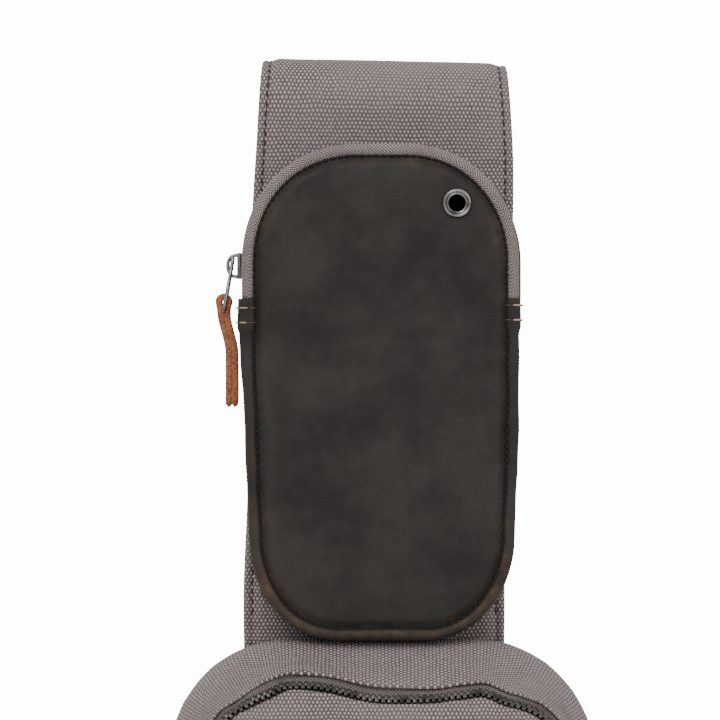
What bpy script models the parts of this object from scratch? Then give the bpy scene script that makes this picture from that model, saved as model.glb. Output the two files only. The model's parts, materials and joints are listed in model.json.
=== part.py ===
"""Canvas sling bag that hangs from the bend of its wide strap.

Frame: metres, +Z up, the front faces -Y. The origin is the hang point, on the inside of the strap's top bend.
The strap panel carries a phone pocket. The bag body hangs below it on the strap's flexible lower end, and webbing
with an adjuster runs from the strap's tail down to a ring at the foot of the bag's back.
"""

import math

import bmesh
import bpy
from mathutils import Matrix, Vector

GAP = 0.0003
MERGE = 0.00001
WALL = 0.0010

# Strap panel: three layers on one path, named by the distance of each layer's middle from the path.
STRAP_HALF_WIDTH = 0.0475
STRAP_TOP_HALF_WIDTH = 0.0435
STRAP_Y = -0.018
STRAP_BOTTOM_Z = -0.206
STRAP_TAIL_Z = -0.078
BEND_RADIUS = 0.0165
CANVAS = 0.0012
FOAM = 0.0026
LINING = 0.0010
STRAP_HALF_THICKNESS = (CANVAS + FOAM + LINING + 2 * GAP) / 2
STRAP_FRONT = STRAP_Y - STRAP_HALF_THICKNESS
BEND_CENTRE_Z = STRAP_HALF_THICKNESS - BEND_RADIUS

# Phone pocket.
POCKET_HALF_WIDTH = 0.0503
POCKET_TOP_Z = -0.027
POCKET_BOTTOM_Z = -0.205
POCKET_TOP_RADIUS = 0.041
POCKET_BOTTOM_RADIUS = 0.024
POCKET_WALL_DEPTH = 0.016
POCKET_EDGE = 0.0050
POCKET_BACK = STRAP_FRONT - GAP
POCKET_FRONT = POCKET_BACK - POCKET_WALL_DEPTH - POCKET_EDGE
POCKET_PANEL_INSET = 0.0046
POCKET_GUSSET_TOP_Z = -0.082
POCKET_ARC_X = POCKET_HALF_WIDTH - POCKET_TOP_RADIUS
POCKET_ARC_Z = POCKET_TOP_Z - POCKET_TOP_RADIUS
POCKET_SLIDER_Z = -0.0695
POCKET_ZIP_DEPTH = 0.0090

# Zips: half widths measured from the middle of the chain.
SLOT_HALF = 0.0006
COIL_OUTER = 0.0016
TAPE_INNER = COIL_OUTER + GAP
TAPE_OUTER = 0.0046
COIL_HEIGHT = 0.0010

# Eyelet for a lead.
EYELET_X = 0.0274
EYELET_Z = -0.0467
EYELET_RADIUS = 0.0052
EYELET_HOLE_RADIUS = 0.0030
EYELET_BARREL_RADIUS = 0.0035
PANEL_HOLE_RADIUS = 0.0039

# Bag body.
BODY_TOP_Z = -0.208
BODY_BOTTOM_Z = -0.505
BODY_HALF_WIDTH = 0.086
BODY_SHOULDER_HALF_WIDTH = 0.078
BODY_TOP_RADIUS = 0.044
BODY_BOTTOM_RADIUS = 0.050
BODY_WIDEST_Z = -0.370
MAIN_ZIP_END_Z = -0.345
BODY_BACK = STRAP_FRONT - GAP
BODY_DEPTHS = (
    (BODY_TOP_Z, 0.024),
    (-0.226, 0.036),
    (-0.252, 0.046),
    (MAIN_ZIP_END_Z - 0.010, 0.0765),
    (-0.430, 0.082),
    (-0.470, 0.076),
    (BODY_BOTTOM_Z, 0.062),
)
BODY_WALL_SHARE = 0.4
BODY_DOME = 0.044
BODY_DOME_POWER = 2.4
MAIN_ZIP_INSET = 0.016
MAIN_SLIDER_Z = -0.318
FRONT_ZIP_Z = -0.385
FRONT_ZIP_HALF_LENGTH = 0.046
FRONT_SLIDER_X = -0.036
SPINE_TOP_Z = -0.275
SPINE_LOW_Z = -0.445
PAD_BOTTOM_Z = -0.482

# Zip sliders and pulls, in each slider's own frame: X out of the bag and Z along the zip.
SLIDER_HALF_WIDTH = 0.0042
SLIDER_HALF_LENGTH = 0.0048
SLIDER_TOP = 0.0028
SLIDER_UNDER = -0.0018
SLIDER_PLATE = 0.0011
SLIDER_UNDER_PLATE = 0.0009
WEB_HALF = 0.00025
BAIL_WIRE = 0.0006
BAIL_REACH = 0.0069
FRONT_BAIL_REACH = 0.0070
LINK_LENGTH = 0.0175
LINK_THICKNESS = 0.0012
LINK_WIDE_Z = -0.0072
LINK_LEAN = math.radians(10)
LEATHER = 0.0020
LEATHER_HALF_WIDTH = 0.0042
PULL_LENGTH = 0.0352
FRONT_PULL_LENGTH = 0.0300

# Webbing, adjuster, ring and tab.
HINGE_Z = -0.210
WEBBING = 0.0014
WEBBING_HALF_WIDTH = 0.0125
MAIN_LAYER_Y = 0.0014
RETURN_LAYER_Y = -0.0032
RING_TOP_Z = -0.462
RING_LOW_Z = -0.476
RING_HALF_WIDTH = 0.0150
RING_WIRE = 0.00125
RING_Y = (MAIN_LAYER_Y + RETURN_LAYER_Y) / 2
LOOP_RADIUS = (MAIN_LAYER_Y - RETURN_LAYER_Y) / 2
WEBBING_SPLIT_Z = -0.440
TRIGLIDE_Z = -0.330
TRIGLIDE_HALF_WIDTH = 0.0158
TRIGLIDE_HALF_HEIGHT = 0.0100

COLOURS = {
    "canvas": ((0.23, 0.20, 0.19), 0.90, 0.0),
    "leather": ((0.035, 0.030, 0.028), 0.55, 0.0),
    "tan": ((0.25, 0.10, 0.05), 0.80, 0.0),
    "tape": ((0.17, 0.14, 0.13), 0.90, 0.0),
    "metal": ((0.70, 0.70, 0.70), 0.30, 1.0),
    "gunmetal": ((0.20, 0.20, 0.21), 0.40, 1.0),
    "foam": ((0.30, 0.30, 0.31), 0.95, 0.0),
    "lining": ((0.08, 0.07, 0.06), 0.85, 0.0),
    "mesh": ((0.05, 0.05, 0.05), 0.95, 0.0),
    "webbing": ((0.10, 0.085, 0.075), 0.85, 0.0),
    "plastic": ((0.02, 0.02, 0.02), 0.40, 0.0),
}


def clear_scene():
    for obj in list(bpy.data.objects):
        bpy.data.objects.remove(obj)


def material(finish):
    """One Principled material for each finish."""
    found = bpy.data.materials.get(finish)
    if found:
        return found
    colour, roughness, metallic = COLOURS[finish]
    made = bpy.data.materials.new(finish)
    made.use_nodes = True
    shader = made.node_tree.nodes["Principled BSDF"]
    shader.inputs["Base Color"].default_value = (*colour, 1.0)
    shader.inputs["Roughness"].default_value = roughness
    shader.inputs["Metallic"].default_value = metallic
    return made


def add_object(name, shape, finish, matrix=None):
    """Makes an object of a bmesh, with its normals pointing out."""
    bmesh.ops.recalc_face_normals(shape, faces=shape.faces)
    mesh = bpy.data.meshes.new(name)
    shape.to_mesh(mesh)
    shape.free()
    mesh.materials.append(material(finish))
    mesh.shade_smooth()
    mesh.set_sharp_from_angle(angle=math.radians(35))
    obj = bpy.data.objects.new(name, mesh)
    bpy.context.scene.collection.objects.link(obj)
    if matrix:
        obj.matrix_world = matrix
    return obj


def subtract(obj, cutters):
    """Cuts hidden shapes from an object."""
    for cutter in cutters:
        cutter.hide_render = True
        cutter.display_type = "WIRE"
        cut = obj.modifiers.new("cut", "BOOLEAN")
        cut.operation = "DIFFERENCE"
        cut.solver = "EXACT"
        cut.object = cutter


# ---------------------------------------------------------------- paths and outlines


def arc(centre, radius, start, end, steps):
    """Points on a circle, angles in degrees."""
    points = []
    for step in range(steps + 1):
        angle = math.radians(start + (end - start) * step / steps)
        points.append((centre[0] + radius * math.cos(angle), centre[1] + radius * math.sin(angle)))
    return points


def subdivided(points, longest, closed=False):
    """The same line with no stretch longer than the given length."""
    result = []
    pairs = list(zip(points, points[1:]))
    if closed:
        pairs.append((points[-1], points[0]))
    for first, second in pairs:
        pieces = max(1, math.ceil(math.dist(first, second) / longest))
        for step in range(pieces):
            share = step / pieces
            result.append(tuple(a + (b - a) * share for a, b in zip(first, second)))
    if not closed:
        result.append(points[-1])
    return result


def mirrored(left_half):
    """A clockwise closed outline from its left half, which runs from the bottom to the top."""
    right_half = [(-x, z) for x, z in reversed(left_half)]
    return left_half + right_half


def pocket_outline():
    low = (POCKET_BOTTOM_RADIUS - POCKET_HALF_WIDTH, POCKET_BOTTOM_Z + POCKET_BOTTOM_RADIUS)
    high = (-POCKET_ARC_X, POCKET_ARC_Z)
    left = arc(low, POCKET_BOTTOM_RADIUS, 270, 180, 7) + arc(high, POCKET_TOP_RADIUS, 180, 90, 14)
    return subdivided(mirrored(left), 0.030, closed=True)


def body_outline():
    low = (BODY_BOTTOM_RADIUS - BODY_HALF_WIDTH, BODY_BOTTOM_Z + BODY_BOTTOM_RADIUS)
    high = (BODY_TOP_RADIUS - BODY_SHOULDER_HALF_WIDTH, BODY_TOP_Z - BODY_TOP_RADIUS)
    left = arc(low, BODY_BOTTOM_RADIUS, 270, 180, 8)
    left.append((-BODY_HALF_WIDTH, BODY_WIDEST_Z))
    left += arc(high, BODY_TOP_RADIUS, 180, 90, 8)
    return subdivided(mirrored(left), 0.024, closed=True)


def clipped(outline, z, above):
    """The open stretch of a closed clockwise outline above or below a height."""
    side = 1 if above else -1
    inside = [side * (point[1] - z) > 0 for point in outline]
    count = len(outline)
    start = next(i for i in range(count) if inside[i] and not inside[i - 1])

    def crossing(first, second):
        share = (z - first[1]) / (second[1] - first[1])
        return (first[0] + (second[0] - first[0]) * share, z)

    path = [crossing(outline[start - 1], outline[start])]
    step = start
    while inside[step % count]:
        path.append(outline[step % count])
        step += 1
    path.append(crossing(outline[step % count - 1], outline[step % count]))
    return path


def inward_normals(path, closed):
    """Unit normals on the right-hand side of a path."""
    count = len(path)
    normals = []
    for i in range(count):
        before = path[i - 1] if closed or i > 0 else path[i]
        after = path[(i + 1) % count] if closed or i < count - 1 else path[i]
        run = Vector((after[0] - before[0], after[1] - before[1])).normalized()
        normals.append((run.y, -run.x))
    return normals


def inset(path, distance, closed):
    normals = inward_normals(path, closed)
    return [(x + nx * distance, z + nz * distance) for (x, z), (nx, nz) in zip(path, normals)]


# ---------------------------------------------------------------- solids


def grid(rows, closed):
    """A surface through rows of points. All rows have the same number of points."""
    shape = bmesh.new()
    verts = [[shape.verts.new(point) for point in row] for row in rows]
    count = len(rows[0])
    for lower, upper in zip(verts, verts[1:]):
        for i in range(count if closed else count - 1):
            j = (i + 1) % count
            shape.faces.new((lower[i], lower[j], upper[j], upper[i]))
    bmesh.ops.remove_doubles(shape, verts=shape.verts, dist=MERGE)
    return shape


def face_out(shape, centre):
    """Turns a surface so that its faces look away from a point inside it."""
    bmesh.ops.recalc_face_normals(shape, faces=shape.faces)
    score = sum(face.normal.dot(face.calc_center_median() - centre) * face.calc_area() for face in shape.faces)
    if score < 0:
        bmesh.ops.reverse_faces(shape, faces=shape.faces)


def skin(name, shape, centre, finish, thickness=WALL, offset=-1.0):
    """A closed sheet of cloth from an open surface. Offset -1 grows it inward and +1 outward."""
    face_out(shape, centre)
    mesh = bpy.data.meshes.new(name)
    shape.to_mesh(mesh)
    shape.free()
    mesh.materials.append(material(finish))
    mesh.shade_smooth()
    obj = bpy.data.objects.new(name, mesh)
    bpy.context.scene.collection.objects.link(obj)
    solidify = obj.modifiers.new("thickness", "SOLIDIFY")
    solidify.thickness = thickness
    solidify.offset = offset
    solidify.use_even_offset = True
    return obj


def tube_of_sections(sections):
    """A closed solid through four-cornered sections."""
    shape = bmesh.new()
    loops = [[shape.verts.new(corner) for corner in section] for section in sections]
    for first, second in zip(loops, loops[1:]):
        for i in range(len(first)):
            j = (i + 1) % len(first)
            shape.faces.new((first[i], first[j], second[j], second[i]))
    shape.faces.new(loops[0])
    shape.faces.new(loops[-1])
    return shape


def strip(name, path, thickness, half_width, finish, offset=0.0):
    """Cloth or webbing of some thickness along a path of (y, z) points, centred on x = 0."""
    left = inset(path, -offset - thickness / 2, closed=False)
    right = inset(path, -offset + thickness / 2, closed=False)
    sections = []
    for (y_left, z_left), (y_right, z_right), (y, z) in zip(left, right, path):
        half = half_width(y, z) if callable(half_width) else half_width
        corners = [(-half, y_left, z_left), (half, y_left, z_left), (half, y_right, z_right)]
        sections.append(corners + [(-half, y_right, z_right)])
    return add_object(name, tube_of_sections(sections), finish)


def slab(name, outline, y_front, y_back, finish):
    """An outline of (x, z) points with thickness along Y."""
    shape = bmesh.new()
    face = shape.faces.new([shape.verts.new((x, y_front, z)) for x, z in outline])
    grown = bmesh.ops.extrude_face_region(shape, geom=[face])
    moved = [item for item in grown["geom"] if isinstance(item, bmesh.types.BMVert)]
    bmesh.ops.translate(shape, verts=moved, vec=(0, y_back - y_front, 0))
    return add_object(name, shape, finish)


def extrusion(profile, low, high):
    """A closed bmesh: a profile of (x, y) points from z = low to z = high."""
    shape = bmesh.new()
    face = shape.faces.new([shape.verts.new((x, y, low)) for x, y in profile])
    grown = bmesh.ops.extrude_face_region(shape, geom=[face])
    moved = [item for item in grown["geom"] if isinstance(item, bmesh.types.BMVert)]
    bmesh.ops.translate(shape, verts=moved, vec=(0, 0, high - low))
    return shape


def rectangle(x_low, x_high, y_low, y_high):
    return [(x_low, y_low), (x_high, y_low), (x_high, y_high), (x_low, y_high)]


def turned(name, profile, centre, finish, sides=16):
    """A ring turned about an axis along Y from a closed profile of (radius, y) points."""
    shape = bmesh.new()
    loops = []
    for step in range(sides):
        angle = 2 * math.pi * step / sides
        loop = [
            shape.verts.new((centre[0] + r * math.cos(angle), y, centre[1] + r * math.sin(angle)))
            for r, y in profile
        ]
        loops.append(loop)
    for step in range(sides):
        first, second = loops[step], loops[(step + 1) % sides]
        for i in range(len(profile)):
            j = (i + 1) % len(profile)
            shape.faces.new((first[i], first[j], second[j], second[i]))
    return add_object(name, shape, finish)


def wire(name, points, radius, finish, matrix=None, cyclic=False):
    """A bent wire along a list of points."""
    curve = bpy.data.curves.new(name, "CURVE")
    curve.dimensions = "3D"
    curve.bevel_depth = radius
    curve.bevel_resolution = 2
    curve.use_fill_caps = not cyclic
    spline = curve.splines.new("POLY")
    spline.points.add(len(points) - 1)
    for point, place in zip(spline.points, points):
        point.co = (*place, 1.0)
    spline.use_cyclic_u = cyclic
    curve.materials.append(material(finish))
    obj = bpy.data.objects.new(name, curve)
    bpy.context.scene.collection.objects.link(obj)
    if matrix:
        obj.matrix_world = matrix
    return obj


# ---------------------------------------------------------------- strap


def strap_path():
    """Middle of the strap panel as (y, z), from its lower front end over the bend to its tail."""
    front = subdivided([(STRAP_Y, STRAP_BOTTOM_Z), (STRAP_Y, -0.060), (-BEND_RADIUS, BEND_CENTRE_Z)], 0.050)
    bend = arc((0.0, BEND_CENTRE_Z), BEND_RADIUS, 180, 0, 12)
    back = [(BEND_RADIUS + 0.0005, -0.045), (BEND_RADIUS + 0.0015, STRAP_TAIL_Z)]
    return front[:-1] + bend + back


def strap_half_width(y, z):
    """The panel narrows as it reaches the bend, and stays narrow behind it."""
    share = min(1.0, max(0.0, (z + 0.050) / 0.050))
    if y > 0:
        share = 1.0
    return STRAP_HALF_WIDTH + (STRAP_TOP_HALF_WIDTH - STRAP_HALF_WIDTH) * share


def make_strap():
    path = strap_path()
    outer = STRAP_HALF_THICKNESS - CANVAS / 2
    middle = outer - CANVAS / 2 - GAP - FOAM / 2
    inner = middle - FOAM / 2 - GAP - LINING / 2
    strip("strap_canvas", path, CANVAS, strap_half_width, "canvas", outer)
    strip("strap_foam", path, FOAM, strap_half_width, "foam", middle)
    strip("strap_lining", path, LINING, strap_half_width, "lining", inner)


# ---------------------------------------------------------------- phone pocket


def pocket_edge_rows(path, closed, depths, insets):
    """Rows up the pocket's wall at the given depths, then round its front edge to the given insets."""
    rows = [[(x, POCKET_BACK - depth, z) for x, z in path] for depth in depths]
    for distance in insets:
        reach = min(1.0, distance / POCKET_EDGE)
        depth = POCKET_WALL_DEPTH + POCKET_EDGE * math.sqrt(1 - (1 - reach) ** 2)
        rows.append([(x, POCKET_BACK - depth, z) for x, z in inset(path, distance, closed)])
    return rows


def pocket_panel_rows(outline):
    """Rows from the front panel's edge in to the pocket's middle line."""
    rows = pocket_edge_rows(outline, True, [], [POCKET_PANEL_INSET, POCKET_EDGE])
    flat_edge = rows[-1]
    for share in (0.4, 1.0):
        row = []
        for x, y, z in flat_edge:
            spine_z = min(POCKET_ARC_Z, max(POCKET_BOTTOM_Z + POCKET_TOP_RADIUS, z))
            row.append((x * (1 - share), y, z + (spine_z - z) * share))
        rows.append(row)
    return rows


def make_pocket():
    outline = pocket_outline()
    centre = Vector((0, POCKET_BACK - POCKET_WALL_DEPTH / 2, -0.116))
    upper = clipped(outline, POCKET_GUSSET_TOP_Z + GAP / 2, above=True)
    lower = clipped(outline, POCKET_GUSSET_TOP_Z - GAP / 2, above=False)
    edge = [0.0014, 0.0028, POCKET_PANEL_INSET - GAP]
    chain = POCKET_ZIP_DEPTH

    rear_tape = pocket_edge_rows(upper, False, [0.0, chain - TAPE_INNER], [])
    front_tape = pocket_edge_rows(upper, False, [chain + TAPE_INNER], [0.0] + edge)
    gusset = pocket_edge_rows(lower, False, [0.0], [0.0] + edge)
    skin("pocket_zip_tape_rear", grid(rear_tape, False), centre, "tape")
    skin("pocket_zip_tape_front", grid(front_tape, False), centre, "tape")
    skin("pocket_gusset", grid(gusset, False), centre, "leather")
    for side, name in ((-1, "pocket_zip_coil_rear"), (1, "pocket_zip_coil_front")):
        depths = sorted((chain + side * SLOT_HALF, chain + side * COIL_OUTER))
        rows = pocket_edge_rows(upper, False, depths, [])
        skin(name, grid(rows, False), centre, "gunmetal", COIL_HEIGHT + WALL, 0.0)

    panel = skin("pocket_front_panel", grid(pocket_panel_rows(outline), True), centre, "leather")
    hole = extrusion(arc((0, 0), PANEL_HOLE_RADIUS, 0, 337.5, 15), -0.01, 0.01)
    place = Matrix.Translation((EYELET_X, POCKET_FRONT, EYELET_Z)) @ Matrix.Rotation(math.pi / 2, 4, "X")
    subtract(panel, [add_object("eyelet_hole_cutter", hole, "metal", place)])
    backing = inset(outline, 0.004, True)
    slab("pocket_back_lining", backing, POCKET_BACK - 0.0005, POCKET_BACK, "lining")


def make_eyelet():
    """The eyelet's flange lies on the front panel and its barrel passes through the panel and the washer."""
    front = POCKET_FRONT - GAP
    flange_front = front - 0.0010
    rear = POCKET_FRONT + WALL + 2 * GAP + 0.0006
    flange = [
        (EYELET_HOLE_RADIUS, flange_front + 0.0003),
        (EYELET_HOLE_RADIUS + 0.0006, flange_front),
        (EYELET_RADIUS - 0.0005, flange_front),
        (EYELET_RADIUS, front - 0.0004),
        (EYELET_RADIUS, front),
        (EYELET_BARREL_RADIUS, front),
        (EYELET_BARREL_RADIUS, rear),
        (EYELET_HOLE_RADIUS, rear),
    ]
    turned("eyelet", flange, (EYELET_X, EYELET_Z), "metal")
    washer_front = POCKET_FRONT + WALL + GAP
    inner = EYELET_BARREL_RADIUS + GAP
    washer = [(r, y) for r, y in rectangle(inner, EYELET_RADIUS, washer_front, washer_front + 0.0006)]
    turned("eyelet_washer", washer, (EYELET_X, EYELET_Z), "metal")


# ---------------------------------------------------------------- zip sliders


def placed(origin, along, outward):
    """A matrix whose local Z runs along the zip and whose local X points out of the bag."""
    z_axis = along.normalized()
    x_axis = (outward - z_axis * outward.dot(z_axis)).normalized()
    y_axis = z_axis.cross(x_axis)
    turn = Matrix((x_axis, y_axis, z_axis)).transposed().to_4x4()
    return Matrix.Translation(origin) @ turn


def slider_profile():
    """Two plates joined by a thin web, seen along the zip."""
    inner_top = SLIDER_TOP - SLIDER_PLATE
    inner_under = SLIDER_UNDER - SLIDER_UNDER_PLATE
    right = [
        (inner_under, SLIDER_HALF_WIDTH - 0.0004),
        (SLIDER_UNDER, SLIDER_HALF_WIDTH - 0.0004),
        (SLIDER_UNDER, WEB_HALF),
        (inner_top, WEB_HALF),
        (inner_top, SLIDER_HALF_WIDTH),
        (SLIDER_TOP - 0.0004, SLIDER_HALF_WIDTH),
        (SLIDER_TOP, SLIDER_HALF_WIDTH - 0.0008),
    ]
    left = [(x, -y) for x, y in reversed(right)]
    return right + left


def bail_points(reach):
    """The wire bail as a half oval on the slider's outer plate."""
    foot = SLIDER_TOP + GAP + BAIL_WIRE
    rise = reach - BAIL_WIRE - foot
    half = SLIDER_HALF_LENGTH - 0.0008
    points = []
    for step in range(13):
        angle = math.pi * step / 12
        points.append((foot + rise * math.sin(angle) ** 0.7, 0.0, half * math.cos(angle)))
    return points


def link_shape():
    """A tapered plate in the plane of local Y and Z, with an eye at the top and a slot at the bottom."""
    outline = [
        (-0.0022, 0.0022),
        (0.0022, 0.0022),
        (0.0028, -0.0030),
        (0.0062, LINK_WIDE_Z),
        (0.0062, -LINK_LENGTH),
        (-0.0062, -LINK_LENGTH),
        (-0.0062, LINK_WIDE_Z),
        (-0.0028, -0.0030),
    ]
    shape = extrusion(outline, -LINK_THICKNESS / 2, LINK_THICKNESS / 2)
    turn = Matrix(((0, 0, 1, 0), (1, 0, 0, 0), (0, 1, 0, 0), (0, 0, 0, 1)))
    bmesh.ops.transform(shape, matrix=turn, verts=shape.verts)
    return shape


def box_cutter(name, low, high, matrix=None):
    shape = extrusion(rectangle(low[0], high[0], low[1], high[1]), low[2], high[2])
    return add_object(name, shape, "metal", matrix)


def leather_path(head_radius, head_z, length):
    """A strip folded over a bar at the local origin: down one side, round the head and down the other."""
    gap = LEATHER / 2 + GAP / 2
    neck = -0.0055
    head = arc((0.0, head_z), head_radius, 195, -15, 10)
    return [(-gap, -length), (-gap, neck)] + head + [(gap, neck), (gap, -length)]


def make_leather_pull(name, matrix, length, half, head_radius, head_z):
    path = leather_path(head_radius, head_z, length)
    first = inset(path, -LEATHER / 2, closed=False)
    second = inset(path, LEATHER / 2, closed=False)
    sections = []
    for (x1, z1), (x2, z2) in zip(first, second):
        sections.append([(x1, -half, z1), (x1, half, z1), (x2, half, z2), (x2, -half, z2)])
    return add_object(name, tube_of_sections(sections), "tan", matrix)


def make_slider(prefix, matrix, reach):
    """A slider and its wire bail."""
    body = extrusion(slider_profile(), -SLIDER_HALF_LENGTH, SLIDER_HALF_LENGTH)
    add_object(prefix + "_slider", body, "metal", matrix)
    wire(prefix + "_slider_bail", bail_points(reach), BAIL_WIRE, "metal", matrix)


def make_linked_pull(prefix, matrix):
    """A metal link that hangs in the bail, and the leather folded through the link."""
    bail_inside = BAIL_REACH - 2 * BAIL_WIRE
    hang = matrix @ Matrix.Translation((bail_inside - 0.0010, 0, 0)) @ Matrix.Rotation(-LINK_LEAN, 4, "Y")
    plate = add_object(prefix + "_pull_link", link_shape(), "metal", hang)
    eye = box_cutter(prefix + "_eye_cutter", (-0.002, -0.0012, -0.0060), (0.002, 0.0012, 0.0010), hang)
    low = -LINK_LENGTH + 0.0014
    slot = box_cutter(prefix + "_slot_cutter", (-0.002, -0.0048, low), (0.002, 0.0048, LINK_WIDE_Z - 0.0002), hang)
    subtract(plate, [eye, slot])
    drop = hang @ Matrix.Translation((0, 0, -LINK_LENGTH + 0.0007)) @ Matrix.Rotation(LINK_LEAN, 4, "Y")
    make_leather_pull(prefix + "_pull_leather", drop, PULL_LENGTH, LEATHER_HALF_WIDTH, 0.0024, 0.0040)


def pocket_slider_matrix():
    origin = Vector((-POCKET_HALF_WIDTH, POCKET_BACK - POCKET_ZIP_DEPTH, POCKET_SLIDER_Z))
    return placed(origin, Vector((0, 0, 1)), Vector((-1, 0, 0)))


# ---------------------------------------------------------------- bag body


def body_depth(z):
    for (z_high, high), (z_low, low) in zip(BODY_DEPTHS, BODY_DEPTHS[1:]):
        if z >= z_low:
            return high + (low - high) * min(1.0, (z - z_high) / (z_low - z_high))
    return BODY_DEPTHS[-1][1]


def body_front(distance, z):
    """The body's front surface as y, at a distance in from the outline."""
    rest = 1 - min(1.0, distance / BODY_DOME)
    dome = (1 - rest**BODY_DOME_POWER) ** (1 / BODY_DOME_POWER)
    return BODY_BACK - body_depth(z) * (BODY_WALL_SHARE + (1 - BODY_WALL_SHARE) * dome)


def body_rows(path, closed, distances, wall=False, sunk=0.0):
    """Rows over the body's shoulder at the given distances, with the side wall before them if asked."""
    rows = []
    if wall:
        rows.append([(x, BODY_BACK, z) for x, z in inset(path, sunk, closed)])
    for distance in distances:
        line = inset(path, distance + sunk, closed)
        rows.append([(x, body_front(distance, z) + sunk, z) for x, z in line])
    return rows


def spine_rows(edge_row, start, shares, sunk=0.0):
    """Rows from the last one given in to the body's upright middle line."""
    rows = []
    for share in shares:
        row = []
        for x, _, z in edge_row:
            spine_z = min(SPINE_TOP_Z, max(SPINE_LOW_Z, z))
            z_new = z + (spine_z - z) * share
            distance = start + (BODY_DOME - start) * share
            row.append((x * (1 - share), body_front(distance, z_new) + sunk, z_new))
        rows.append(row)
    return rows


def front_surface(outline, first):
    rows = body_rows(outline, True, [first, 0.028, 0.036])
    return rows + spine_rows(rows[-1], 0.036, (0.35, 0.7, 1.0))


def cut_at(shape, axis, places):
    """Adds edges where a surface crosses planes at right angles to an axis."""
    for place in places:
        geometry = shape.verts[:] + shape.edges[:] + shape.faces[:]
        point = Vector((0, 0, 0))
        point[axis] = place
        normal = Vector((0, 0, 0))
        normal[axis] = 1
        bmesh.ops.bisect_plane(shape, geom=geometry, plane_co=point, plane_no=normal, dist=MERGE)


def kept(shape, wanted):
    """A copy of a surface with only the faces whose middle is wanted."""
    copy = shape.copy()
    unwanted = [face for face in copy.faces if not wanted(face.calc_center_median())]
    bmesh.ops.delete(copy, geom=unwanted, context="FACES")
    return copy


def make_front(outline, centre):
    """The front panel, split by the zip of the flat front pocket, and that zip's tapes and coils."""
    shape = grid(front_surface(outline, MAIN_ZIP_INSET + TAPE_OUTER + GAP), True)
    window = TAPE_OUTER + GAP
    half = FRONT_ZIP_HALF_LENGTH
    edges = (GAP / 2, SLOT_HALF, COIL_OUTER, TAPE_INNER, TAPE_OUTER, window)
    cut_at(shape, 2, [FRONT_ZIP_Z + side * edge for edge in edges for side in (-1, 1)])
    cut_at(shape, 0, [side * place for place in (half, half - GAP) for side in (-1, 1)])

    def panel(side):
        def wanted(point):
            height = side * (point.z - FRONT_ZIP_Z)
            beside = abs(point.x) > half
            return height > window or (beside and height > GAP / 2)

        return wanted

    def band(side, low, high):
        def wanted(point):
            return low < side * (point.z - FRONT_ZIP_Z) < high and abs(point.x) < half - GAP

        return wanted

    skin("front_panel", kept(shape, panel(1)), centre, "canvas")
    skin("front_base_panel", kept(shape, panel(-1)), centre, "leather")
    for side, word in ((1, "upper"), (-1, "lower")):
        tape = kept(shape, band(side, TAPE_INNER, TAPE_OUTER))
        skin("front_zip_tape_" + word, tape, centre, "tape")
        coil = kept(shape, band(side, SLOT_HALF, COIL_OUTER))
        skin("front_zip_coil_" + word, coil, centre, "gunmetal", COIL_HEIGHT + WALL, 0.0)
    shape.free()


def make_body():
    outline = body_outline()
    centre = Vector((0, BODY_BACK - 0.030, -0.360))
    upper = clipped(outline, MAIN_ZIP_END_Z + GAP / 2, above=True)
    lower = clipped(outline, MAIN_ZIP_END_Z - GAP / 2, above=False)
    chain = MAIN_ZIP_INSET
    rear_edge = chain - TAPE_OUTER - GAP
    front_edge = chain + TAPE_OUTER

    shoulder = [0.0, 0.0015, 0.005, rear_edge]
    skin("upper_gusset", grid(body_rows(upper, False, shoulder, wall=True), False), centre, "canvas")
    side_wall = [0.0, 0.0015, 0.005, 0.011, front_edge]
    skin("lower_gusset", grid(body_rows(lower, False, side_wall, wall=True), False), centre, "canvas")
    for side, word in ((-1, "rear"), (1, "front")):
        tape = sorted((chain + side * TAPE_INNER, chain + side * TAPE_OUTER))
        skin("main_zip_tape_" + word, grid(body_rows(upper, False, tape), False), centre, "tape")
        teeth = sorted((chain + side * SLOT_HALF, chain + side * COIL_OUTER))
        rows = grid(body_rows(upper, False, teeth), False)
        skin("main_zip_teeth_" + word, rows, centre, "gunmetal", COIL_HEIGHT + WALL, 0.0)
    make_front(outline, centre)


def make_inside():
    """The liner, a bowl inside the front and gusset, and the flat inner pocket on the back."""
    outline = body_outline()
    centre = Vector((0, BODY_BACK - 0.030, -0.360))
    sunk = 0.0045
    rows = body_rows(outline, True, [0.0, 0.005, 0.016, 0.034], wall=True, sunk=sunk)
    rows = [[(x, min(y, BODY_BACK - 0.001), z) for x, y, z in row] for row in rows]
    rows += spine_rows(rows[-1], 0.034, (0.5, 1.0), sunk)
    skin("main_lining", grid(rows, True), centre, "lining", 0.0006)
    low, high, half = -0.470, -0.330, 0.055
    pocket = arc((-half + 0.012, low + 0.012), 0.012, 270, 180, 3) + [(-half, high)]
    slab("inner_pocket", mirrored(pocket), BODY_BACK - 0.0030, BODY_BACK - 0.0022, "lining")


def make_back():
    """Back panel, foam and mesh pad, in the plane of the strap panel."""
    outline = clipped(body_outline(), HINGE_Z - 0.004, above=False)
    back_rear = STRAP_Y + STRAP_HALF_THICKNESS
    slab("back_panel", outline, BODY_BACK + GAP, BODY_BACK + GAP + 0.0012, "lining")
    foam = inset(clipped(body_outline(), HINGE_Z - 0.006, above=False), 0.003, False)
    slab("back_foam", foam, BODY_BACK + 2 * GAP + 0.0012, back_rear - 0.0008, "foam")
    pad = inset(clipped(body_outline(), HINGE_Z - 0.008, above=False), 0.006, False)
    pad = [(x, max(z, PAD_BOTTOM_Z)) for x, z in pad]
    slab("back_mesh_pad", pad, back_rear - 0.0005, back_rear + 0.0035, "mesh")


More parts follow.
